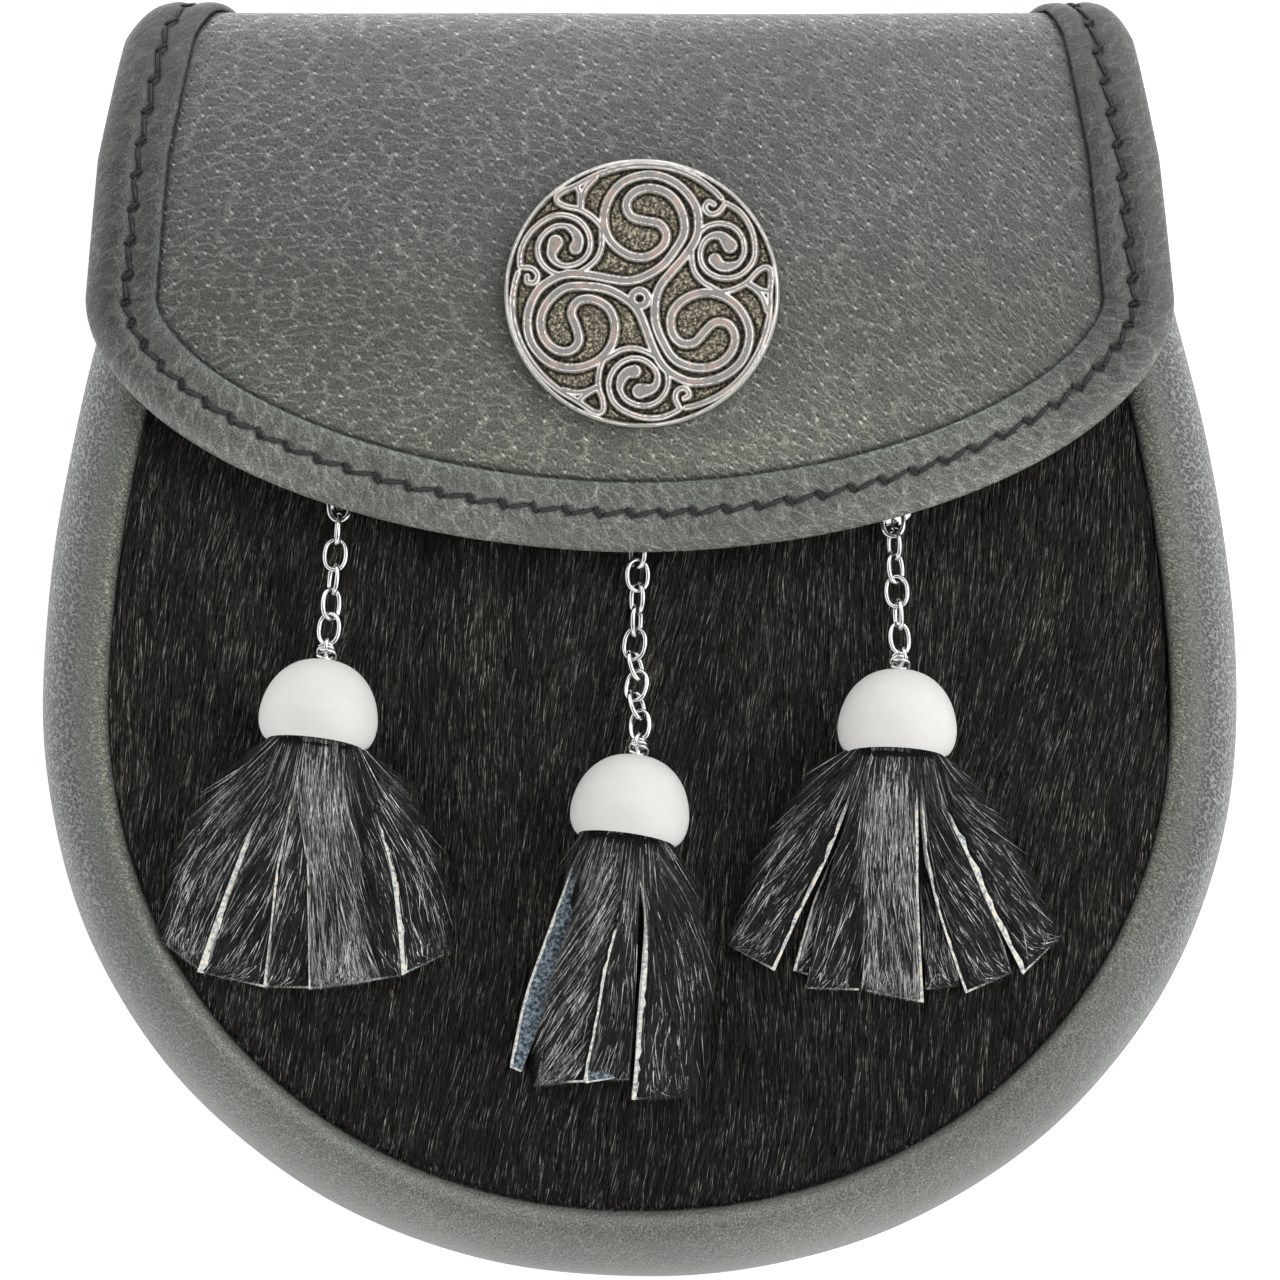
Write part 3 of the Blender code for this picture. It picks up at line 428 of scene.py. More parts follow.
def makeCamera():
    # Straight down on the pouch from 1.6 m, with the top of the pouch at the top of the frame.
    bpy.ops.object.camera_add(location=(0.0, 0.0, view["distance"]), rotation=(0.0, 0.0, 0.0))
    camera = bpy.context.object
    camera.data.sensor_width = 36.0
    camera.data.lens = 36.0 * (view["distance"] - view["planeHeight"]) / view["frameWidth"]
    camera.data.clip_end = 10.0
    scene.camera = camera


light = {
    "tent": 1.32, "opening": 0.08, "openingFrom": 0.91, "openingTo": 0.64, "sideGain": 0.2, "backGain": 0.3,
    "key": ((0.6, 0.25, 1.0), 0.9, 4.0), "floorGlow": 0.55,
}


def makeLight():
    # White light tent, brighter at the right and behind the fold, with a dark opening overhead.
    scene.view_settings.view_transform = "Standard"
    world = bpy.data.worlds.new("lightTent")
    world.use_nodes = True
    tree = world.node_tree
    sky = tree.nodes["Background"]
    way = addNode(tree, "ShaderNodeTexCoord", output="Generated")
    _, toFold, toTop = addNode(tree, "ShaderNodeSeparateXYZ", {0: way}).node.outputs
    top = addNode(tree, "ShaderNodeValToRGB", {
        0: toTop, "stops": ((light["openingTo"], 1.0), (light["openingFrom"], light["opening"]))})
    lean = addNode(tree, "ShaderNodeVectorMath", {
        "operation": "DOT_PRODUCT", 0: way, 1: (1.0, 0.1, 0.0)}, "Value")
    side = addNode(tree, "ShaderNodeMath", {
        "operation": "MULTIPLY_ADD", 0: lean, 1: light["sideGain"], 2: light["tent"]})
    back = addNode(tree, "ShaderNodeValToRGB", {0: toFold, "stops": ((0.45, 0.0), (0.85, light["backGain"]))})
    gain = addNode(tree, "ShaderNodeMath", {"operation": "ADD", 0: side, 1: back})
    level = addNode(tree, "ShaderNodeMath", {"operation": "MULTIPLY", 0: gain, 1: top})
    sky.inputs["Color"].default_value = (0.985, 0.99, 1.0, 1.0)
    tree.links.new(level, sky.inputs["Strength"])
    scene.world = world
    place, size, watts = light["key"]
    bpy.ops.object.light_add(type="AREA", location=place)
    lamp = bpy.context.object
    lamp.name = "softboxKey"
    lamp.data.size = size
    lamp.data.energy = watts
    lamp.rotation_euler = (-Vector(place)).to_track_quat("-Z", "Y").to_euler()


def makeFloor():
    # Matt white paper sweep.
    deselectAll()
    bpy.ops.mesh.primitive_plane_add(size=6.0, location=(0.0, 0.0, -0.0002))
    floor = bpy.context.object
    floor.name = "paperFloor"
    material, tree, shader = startMaterial("mattWhitePaper", {
        "Base Color": linearColour("#F6F6F6"), "Roughness": 0.95, "Specular IOR Level": 0.1,
        "Emission Color": grey(1.0), "Emission Strength": light["floorGlow"],
    })
    tooth = addNode(tree, "ShaderNodeTexNoise", {"Scale": 900.0, "Detail": 2.0})
    bump = addNode(tree, "ShaderNodeBump", {"Strength": 0.05, "Distance": 0.1 * mm, "Height": tooth})
    tree.links.new(bump, shader.inputs["Normal"])
    floor.data.materials.append(material)


makeCamera()
makeLight()
makeFloor()
print("camera, light and floor")


# Form of the pouch

body = {
    "halfWidth": 95.6, "bellyY": -10.0, "drop": 91.9, "roundness": 2.07,
    "taper": 0.00718, "taperPower": 1.75, "taperReach": 58.0,
    "gussetTopY": 86.0, "backZ": 8.0, "mouthThinning": 0.77, "thinningFromY": 40.0,
    # the front panel: inset of its seam from the outline, height at the seam, rise to its middle
    "panelInset": 11.9, "panelZ": 33.3, "panelDome": 2.0,
}


def bodyHalfWidth(y):
    rise = np.maximum(np.asarray(y, dtype=float) - body["bellyY"], 0.0)
    near = body["taper"] * np.minimum(rise, body["taperReach"]) ** body["taperPower"]
    slope = body["taper"] * body["taperPower"] * body["taperReach"] ** (body["taperPower"] - 1)
    return body["halfWidth"] - near - slope * np.maximum(rise - body["taperReach"], 0.0)


def bodyEdge(topY, count=400):
    # Dense outline from the right top end round the bottom to the left top end.
    y = np.linspace(topY, body["bellyY"], 120)
    right = np.stack([bodyHalfWidth(y), y], 1)
    angle = np.linspace(0, pi, count)[1:-1]
    x = np.sign(np.cos(angle)) * body["halfWidth"] * np.abs(np.cos(angle)) ** (2 / body["roundness"])
    drop = body["drop"] * np.sin(angle) ** (2 / body["roundness"])
    low = np.stack([x, body["bellyY"] - drop], 1)
    left = right[::-1] * np.array([-1, 1])
    return np.concatenate([right, low, left])


def mouthHeight(z, y):
    share = np.clip((y - body["thinningFromY"]) / (body["gussetTopY"] - body["thinningFromY"]), 0, 1)
    keep = 1 - (1 - body["mouthThinning"]) * share * share * (3 - 2 * share)
    floor = body["backZ"] + 1
    return np.where(z <= floor, z, floor + (z - floor) * keep)


def panelTop(x, y):
    half = bodyHalfWidth(np.maximum(y, body["bellyY"])) - body["panelInset"]
    across = np.minimum(1, np.abs(x) / half)
    down = np.clip((body["bellyY"] - y) / (body["drop"] - body["panelInset"]), 0, 1)
    dome = body["panelDome"] * np.maximum(0, 1 - across ** 2 - down ** 2)
    return mouthHeight(body["panelZ"] + dome, y)


roll = {
    # inset from the outline, height: the leather from the front seam round to the back lip
    "skin": ((11.5, 28.5), (11.6, 31.0), (11.2, 33.0), (10.0, 34.5), (8.3, 35.0), (6.2, 34.3),
             (4.2, 32.6), (2.3, 29.8), (0.9, 25.8), (0.1, 21.0), (0.0, 16.0), (0.5, 11.0), (1.6, 6.8),
             (3.2, 3.0), (4.8, 0.8), (6.4, 0.05), (9.0, 0.0), (12.0, 0.05), (12.8, 0.8), (13.0, 3.0),
             (13.0, 8.8)),
    "around": 300, "across": 50, "wall": 1.7,
    "swell": 0.22, "swellSize": 34.0,    # height and length of the leather's slow unevenness
}


def makeRoll():
    edge = bodyEdge(body["gussetTopY"])
    section = curved(roll["skin"], 10)

    def place(u, v):
        outline = along(edge, v)
        grid = np.linspace(0, 1, 900)
        ways = inwardWay(along(edge, grid))
        nx, ny = np.interp(v, grid, ways[:, 0]), np.interp(v, grid, ways[:, 1])
        skin = along(section, u)
        arc, girth = v * stepLengths(edge).sum(), u * stepLengths(section).sum()
        fade = np.sin(np.clip(u * 1.5, 0, 1) * pi)
        swell = roll["swell"] * ripple(arc, girth * 2.0, roll["swellSize"], 5) * fade
        inset = skin[:, 0] - swell * 0.5
        x = outline[:, 0] + nx * inset
        y = outline[:, 1] + ny * inset
        z = mouthHeight(skin[:, 1] + np.where(skin[:, 1] > 12, swell * 0.6, 0), y)
        return np.stack([x, y, np.maximum(z, 0.0)], 1), np.stack([arc, girth], 1)

    piece = gridPiece("leatherRoll", roll["across"], roll["around"], place)
    faceOutward(piece)
    # The open skin faces away from the hollow; the wall grows inward.
    giveWall(piece, roll["wall"])
    smoothPiece(piece, 55)
    return finishPiece(piece, rollLeather, "grey_leather", "gusset")


makeRoll()
print("leather roll")


# Back and flap, one sheet

flap = {
    "startY": 84.0, "topY": 99.0, "midZ": 24.5, "crestY": 38.0, "crestZ": 43.4, "foldPower": 2.2,
    "edgeY": 13.9, "edgeDip": 2.4, "crown": 2.5, "cornerY": 53.9, "roundness": 1.91, "centreX": -0.2,
    "thickness": 2.0, "backBottomY": -88.3, "backInset": 13.4, "columns": 96, "rows": 130, "wave": 0.12,
    # height in side view on the way up and over, reach to the left, reach to the right
    "sides": ((8.5, 63.2, 63.2), (12.0, 67.6, 67.6), (17.0, 74.5, 72.5), (24.5, 77.5, 75.3),
              (32.0, 81.6, 78.6), (40.0, 85.6, 82.4)),
    "corner": (87.4, 84.6), "edgeInset": 2.5,
}


def sideProfile():
    # Middle of the sheet in side view: up the back, round the fold, down the front.
    y = np.linspace(flap["backBottomY"], flap["startY"], 60)
    back = np.stack([y, np.full_like(y, body["backZ"])], 1)
    a = np.linspace(0, pi / 2, 60)[1:]
    rise = np.stack([flap["startY"] + (flap["topY"] - flap["startY"]) * np.sin(a),
                     flap["midZ"] - (flap["midZ"] - body["backZ"]) * np.cos(a)], 1)
    power = 2 / flap["foldPower"]
    over = np.stack([flap["crestY"] + (flap["topY"] - flap["crestY"]) * np.cos(a) ** power,
                     flap["midZ"] + (flap["crestZ"] - flap["midZ"]) * np.sin(a) ** power], 1)
    y = np.linspace(flap["crestY"], flap["edgeY"], 30)[1:]
    fall = (flap["crestY"] - y) / (flap["crestY"] - flap["edgeY"])
    low = np.stack([y, flap["crestZ"] - flap["edgeDip"] * fall ** 2], 1)
    return np.concatenate([back, rise, over, low])


profile = along(sideProfile(), np.linspace(0, 1, 1600))
profileRun = runMarks(profile)
profileWay = np.gradient(profile, axis=0)
profileWay /= np.sqrt((profileWay ** 2).sum(1))[:, None]


def runWhere(test):
    return profileRun[np.argmax(test)]


def sideRun(z):
    # Run at which the sheet, on its way up to the fold, reaches the height z.
    return runWhere((profile[:, 0] > flap["startY"] - 12) & (profile[:, 1] >= z))


def frontRun(y):
    # Run at which the sheet, on its way down the front, reaches y.
    return runWhere((profile[:, 1] > flap["midZ"]) & (profile[:, 0] <= y))


def onSheet(x, run, height=0.0):
    run = np.clip(run, 0, profileRun[-1])
    y, z = np.interp(run, profileRun, profile[:, 0]), np.interp(run, profileRun, profile[:, 1])
    wy, wz = np.interp(run, profileRun, profileWay[:, 0]), np.interp(run, profileRun, profileWay[:, 1])
    crown = flap["crown"] * (x / flap["corner"][0]) ** 2 * np.maximum(0, -wy)
    return np.stack([x, y + wz * height, z - wy * height - crown], 1)


foldRun = runWhere(profile[:, 0] > flap["startY"])
cornerRun = frontRun(flap["cornerY"])
flapDrop = profileRun[-1] - cornerRun


def sideReach(run, side):
    marks = [sideRun(row[0]) for row in flap["sides"]]
    reach = [row[1 + side] for row in flap["sides"]]
    return np.interp(run, marks + [cornerRun], reach + [flap["corner"][side]])


def flapEdge(topRun, count=700):
    # Free edge in the flat pattern (x, run), from the left top round to the right top.
    runs = np.linspace(topRun, cornerRun, 160)
    left = np.stack([flap["centreX"] - sideReach(runs, 0), runs], 1)
    right = np.stack([flap["centreX"] + sideReach(runs, 1), runs], 1)[::-1]
    angle = np.linspace(pi, 0, count)[1:-1]
    reach = np.where(angle > pi / 2, flap["corner"][0], flap["corner"][1])
    x = np.sign(np.cos(angle)) * reach * np.abs(np.cos(angle)) ** (2 / flap["roundness"])
    low = np.stack([flap["centreX"] + x, cornerRun + flapDrop * np.sin(angle) ** (2 / flap["roundness"])], 1)
    return np.concatenate([left, low, right])


def backReach(run):
    # Half-width of the back sheet between its round bottom and the fold.
    edge = bodyEdge(flap["startY"])
    edge = edge + inwardWay(edge) * flap["backInset"]
    half = edge[:len(edge) // 2][::-1]
    order = np.argsort(half[:, 1])
    return np.interp(run + flap["backBottomY"], half[order, 1], half[order, 0])


def makeFlapSheet():
    topRun = sideRun(flap["sides"][0][0])
    front = flapEdge(topRun)
    front = front + inwardWay(front) * flap["edgeInset"]
    half = len(front) // 2
    tipRun = front[half, 1]

    def place(u, v):
        # Rows crowd toward the fold and the front, which show.
        run = np.interp(v, [0, 0.12, 0.3, 1], [0.3, foldRun - 8, cornerRun - 60, tipRun - 0.02])
        left = np.where(run < topRun, -backReach(run), np.interp(run, front[:half, 1], front[:half, 0]))
        right = np.where(run < topRun, backReach(run),
                         np.interp(run, front[half:, 1][::-1], front[half:, 0][::-1]))
        x = left + (right - left) * u
        rise = flap["wave"] * ripple(x, run, 40.0, 11)
        grid["flat"] = np.stack([x, run], 1)
        return onSheet(x, run, rise), grid["flat"]

    grid = {}
    piece = gridPiece("leatherFlap", flap["columns"], flap["rows"], place)
    # Every point knows how far it lies from the binding's inner edge, for the painted shade along it.
    inner = bindingFlat(bindingFrame()[0], np.linspace(0, 1, 500), binding["width"])
    writeValues(piece.data, "bindingGap", distanceTo(grid["flat"], inner))
    faceOutward(piece)
    giveWall(piece, flap["thickness"], 0.0)
    smoothPiece(piece, 60)
    return finishPiece(piece, flapLeather, "grey_leather", "back_and_flap")


binding = {
    "width": 11.0, "pitch": 5.3, "perStitch": 6, "stitchInset": 6.45, "topZ": 17.0,
    # inset from the edge, height over the sheet's middle
    "section": ((11.0, 1.25), (11.0, 2.2), (10.7, 2.45), (9.6, 2.62), (8.4, 2.6), (7.4, 2.5), (6.45, 2.42),
                (5.5, 2.55), (4.4, 2.72), (3.2, 2.62), (2.0, 2.25), (0.9, 1.5), (0.2, 0.7), (0.0, -0.1),
                (0.35, -1.0), (1.3, -1.8), (2.8, -2.3), (5.0, -2.4), (8.0, -2.4), (10.8, -2.4), (11.0, -2.2),
                (11.0, -1.3), (7.0, -1.3), (2.4, -1.3), (2.2, 0.0), (2.4, 1.25), (7.0, 1.25)),
    "holeDepth": 0.75, "grooveDepth": 0.22,
}


def bindingFrame():
    # The free edge that the binding covers, its length, and the whole number of stitches that fit on it.
    edge = flapEdge(sideRun(binding["topZ"]))
    length = stepLengths(edge).sum()
    stitches = int(round(length / binding["pitch"]))
    return edge, length, stitches


def distanceTo(points, line, closed=False):
    # Distance from each point to a polyline.
    best = np.full(len(points), 9.0e6)
    ends = np.roll(line, -1, axis=0) if closed else line[1:]
    for a, b in zip(line if closed else line[:-1], ends):
        run = b - a
        share = np.clip(((points - a) @ run) / max(1e-12, run @ run), 0, 1)
        gap = points - a - share[:, None] * run
        best = np.minimum(best, (gap ** 2).sum(1))
    return np.sqrt(best)


def bindingFlat(edge, share, inset):
    # Place in the flat pattern (x, run) at an inset from the free edge.
    grid = np.linspace(0, 1, 1400)
    runs = along(edge, grid)
    ways = inwardWay(runs)
    base = along(edge, share)
    nx, nr = np.interp(share, grid, ways[:, 0]), np.interp(share, grid, ways[:, 1])
    level = np.clip((cornerRun - base[:, 1]) / 10, 0, 1)
    nx = nx * (1 - level) + np.sign(-base[:, 0]) * level
    nr = nr * (1 - level)
    size = np.sqrt(nx ** 2 + nr ** 2)
    return np.stack([base[:, 0] + nx / size * inset, base[:, 1] + nr / size * inset], 1)


def bindingPlace(edge, share, inset, height):
    flat = bindingFlat(edge, share, inset)
    return onSheet(flat[:, 0], flat[:, 1], height)


def makeBinding():
    edge, length, stitches = bindingFrame()
    section = np.array(binding["section"], dtype=float)
    loop = curved(section, 2, True)
    count = len(loop)
    rows = stitches * binding["perStitch"]

    def place(u, v):
        step = np.rint(u * count).astype(int) % count
        inset, height = loop[step, 0].copy(), loop[step, 1].copy()
        phase = v * stitches
        near = np.abs(phase - np.rint(phase)) * binding["pitch"]
        top = height > 1.9
        off = inset - binding["stitchInset"]
        hole = np.exp(-(near / 0.75) ** 2 - (off / 0.9) ** 2) * binding["holeDepth"]
        groove = np.exp(-(off / 0.75) ** 2) * binding["grooveDepth"]
        pucker = 0.1 * np.cos(phase * 2 * pi) * np.exp(-((np.abs(off) - 2.2) / 1.3) ** 2)
        height = height - np.where(top, hole + groove + pucker, 0)
        girth = runMarks(loop)[step]
        wave = ripple(v * length, girth, 16.0, 23) * 0.1
        height = height + np.where(height > 0, wave, 0)
        return bindingPlace(edge, v, inset, height), np.stack([v * length, girth], 1)

    piece = gridPiece("leatherBinding", count, rows, place)
    faceOutward(piece)
    pick(piece)
    bpy.ops.object.mode_set(mode="EDIT")
    bpy.ops.mesh.select_all(action="DESELECT")
    bpy.ops.mesh.select_non_manifold()
    bpy.ops.mesh.fill_holes(sides=0)
    bpy.ops.object.mode_set(mode="OBJECT")
    faceOutward(piece, 0)
    smoothPiece(piece, 60)
    leatherStrip = leatherMaterial("dyedPigskinBinding", lines=0.7, pebble=0.07, strip=length * mm)
    return finishPiece(piece, leatherStrip, "grey_leather", "flap_binding")


makeFlapSheet()
makeBinding()
print("flap and binding")


def threadMaterial():
    # Waxed black linen thread: dull gloss with a faint cool sheen, two plies twisted.
    material, tree, shader = startMaterial("waxedLinenThread", {"Roughness": 0.42, "Specular IOR Level": 0.5})
    place = addNode(tree, "ShaderNodeTexCoord", output="Object")
    twist = addNode(tree, "ShaderNodeTexWave", {"Scale": 900.0, "Distortion": 1.5, "Vector": place}, "Fac")
    bump = addNode(tree, "ShaderNodeBump", {"Strength": 0.5, "Distance": 0.1 * mm, "Height": twist})
    tree.links.new(bump, shader.inputs["Normal"])
    plies = addNode(tree, "ShaderNodeValToRGB", {0: twist, "stops": ((0.2, "#0F0D0F"), (0.8, "#332E31"))})
    # The short slashes over the holes are near black: painted shade where the thread dives into its hole.
    shown = addNode(tree, "ShaderNodeAttribute", {"attribute_name": "shown"}, "Fac")
    thread = addNode(tree, "ShaderNodeMix", {
        "data_type": "RGBA", 0: shown, 6: linearColour("#060506"), 7: plies}, 2)
    tree.links.new(thread, shader.inputs["Base Color"])
    return material


stitch = {
    # tilt from the edge's run in degrees, half length, half width, height, how far its ends dive
    "bar": (13.0, 2.1, 0.34, 2.48, 0.35),
    "slash": (-50.0, 1.0, 0.36, 2.42, 0.0),
    "flatness": 0.8,
}


def makeStitches():
    edge, length, stitches = bindingFrame()
    thread = threadMaterial()
    deselectAll()
    bpy.ops.mesh.primitive_uv_sphere_add(segments=8, ring_count=8, radius=1.0)
    ball = bpy.context.object
    unit = readPoints(ball)
    faces = [tuple(face.vertices) for face in ball.data.polygons]
    bpy.data.objects.remove(ball, do_unlink=True)
    unit[:, :2] *= (np.sqrt(1 - unit[:, 2] ** 6) / np.maximum(1e-6, np.sqrt(1 - unit[:, 2] ** 2)))[:, None]
    verts, polys, shown = [], [], []
    step = 1.0 / stitches
    for i in range(stitches):
        # A bar between two holes, and a short slash over each hole but the first.
        for kind, mid in (("bar", (i + 0.5) * step), ("slash", i * step)):
            if mid == 0:
                continue
            tilt, long, wide, height, dive = stitch[kind]
            a = unit[:, 2] * long * cos(radians(tilt)) - unit[:, 0] * wide * sin(radians(tilt))
            b = unit[:, 2] * long * sin(radians(tilt)) + unit[:, 0] * wide * cos(radians(tilt))
            level = height - dive * unit[:, 2] ** 2 + unit[:, 1] * wide * stitch["flatness"]
            place = bindingPlace(edge, np.clip(mid + a / length, 0, 1), binding["stitchInset"] + b, level)
            polys += [tuple(k + len(verts) for k in face) for face in faces]
            verts += [tuple(p) for p in place * mm]
            shown += [float(kind == "bar")] * len(unit)
    mesh = bpy.data.meshes.new("edgeStitches")
    mesh.from_pydata(verts, [], polys)
    writeValues(mesh, "shown", shown)
    piece = bpy.data.objects.new("edgeStitches", mesh)
    scene.collection.objects.link(piece)
    faceOutward(piece, 0)
    smoothPiece(piece)
    return finishPiece(piece, thread, "grey_leather")


makeStitches()
print("stitches")


# Medallion

medallion = {
    "centreX": 0.3, "centreY": 54.9, "radius": 21.7, "disc": 2.0, "relief": 1.1, "gap": 0.3,
    "grid": 300, "bandHalf": 0.036, "armHalf": 0.025, "slimHalf": 0.026, "shift": -0.45, "lean": 0.978,
    "hub": (-0.016, -0.042), "hubRing": 0.058, "hubHalf": 0.034, "rim": 0.983, "rimHalf": 0.017,
    # One third of the long band, as shares of the radius. The other two are turned by 120 degrees.
    "band": (
        (0.130, 0.045), (0.205, 0.145), (0.305, 0.262), (0.385, 0.385), (0.412, 0.500), (0.386, 0.657),
        (0.256, 0.810), (0.073, 0.879), (-0.124, 0.832), (-0.243, 0.693), (-0.276, 0.526),
        (-0.222, 0.380), (-0.103, 0.285), (0.031, 0.267), (0.143, 0.336), (0.179, 0.431),
        (0.129, 0.514), (0.031, 0.536), (-0.075, 0.569), (-0.113, 0.657), (-0.060, 0.745),
        (0.059, 0.781), (0.193, 0.737), (0.284, 0.620), (0.310, 0.460), (0.243, 0.322),
        (0.145, 0.200), (0.010, 0.118),
    ),
    # Small two-armed spiral and the bands that tie it to the rim. Each arm starts as a fat head.
    "armOut": ((-0.479, 0.336), (-0.462, 0.386), (-0.475, 0.436), (-0.510, 0.475), (-0.549, 0.497),
               (-0.619, 0.497), (-0.681, 0.464), (-0.725, 0.418), (-0.750, 0.364), (-0.754, 0.305),
               (-0.738, 0.246), (-0.698, 0.189), (-0.641, 0.150), (-0.554, 0.131), (-0.466, 0.150),
               (-0.378, 0.203), (-0.321, 0.264), (-0.293, 0.341), (-0.291, 0.409), (-0.293, 0.490)),
    "armIn": ((-0.624, 0.377), (-0.641, 0.336), (-0.654, 0.291), (-0.637, 0.246), (-0.593, 0.211),
              (-0.540, 0.202), (-0.470, 0.218), (-0.413, 0.259), (-0.380, 0.318), (-0.373, 0.377),
              (-0.383, 0.436), (-0.411, 0.491), (-0.455, 0.539), (-0.514, 0.568), (-0.580, 0.581),
              (-0.641, 0.573), (-0.698, 0.546), (-0.760, 0.500), (-0.808, 0.450), (-0.847, 0.391),
              (-0.874, 0.327), (-0.885, 0.264), (-0.885, 0.200)),
    # half width of the heads at the first points of each arm
    "heads": {"armOut": (0.053, 0.046, 0.042, 0.034, 0.026),
              "armIn": (0.060, 0.051, 0.040, 0.033, 0.028, 0.026)},
    "curl": ((-0.880, 0.190), (-0.799, 0.183), (-0.755, 0.134), (-0.776, 0.079), (-0.829, 0.081),
             (-0.832, 0.124)),
    "crescent": ((-0.289, 0.490), (-0.358, 0.565), (-0.450, 0.622), (-0.542, 0.642), (-0.605, 0.672),
                 (-0.618, 0.709), (-0.575, 0.752), (-0.463, 0.804), (-0.318, 0.882), (-0.134, 0.937),
                 (0.063, 0.950), (0.247, 0.920), (0.405, 0.850), (0.524, 0.760), (0.579, 0.702)),
    "bar": ((-0.439, 0.640), (-0.434, 0.709), (-0.404, 0.784), (-0.338, 0.855)),
    "corner": ((-0.470, 0.800), (-0.450, 0.736), (-0.450, 0.640)),
}


def turnedBy(points, angle):
    c, s = cos(angle), sin(angle)
    points = np.asarray(points, dtype=float)
    return np.stack([points[:, 0] * c - points[:, 1] * s, points[:, 0] * s + points[:, 1] * c], 1)


def bandHeight(distance, half):
    # Flat-topped band with narrow sloping sides and a groove at each foot.
    top = np.clip((half - distance) / 0.015, 0, 1)
    groove = -0.3 * np.exp(-((distance - half - 0.011) / 0.010) ** 2)
    return np.where(distance < half, top * (1.6 - 0.6 * top), groove)


def mergeBands(height, found):
    # Bands run into each other; a groove only cuts where no band is.
    return np.where(found > 0.02, np.maximum(height, found),
                    np.where(height > 0.02, height, np.minimum(height, found)))


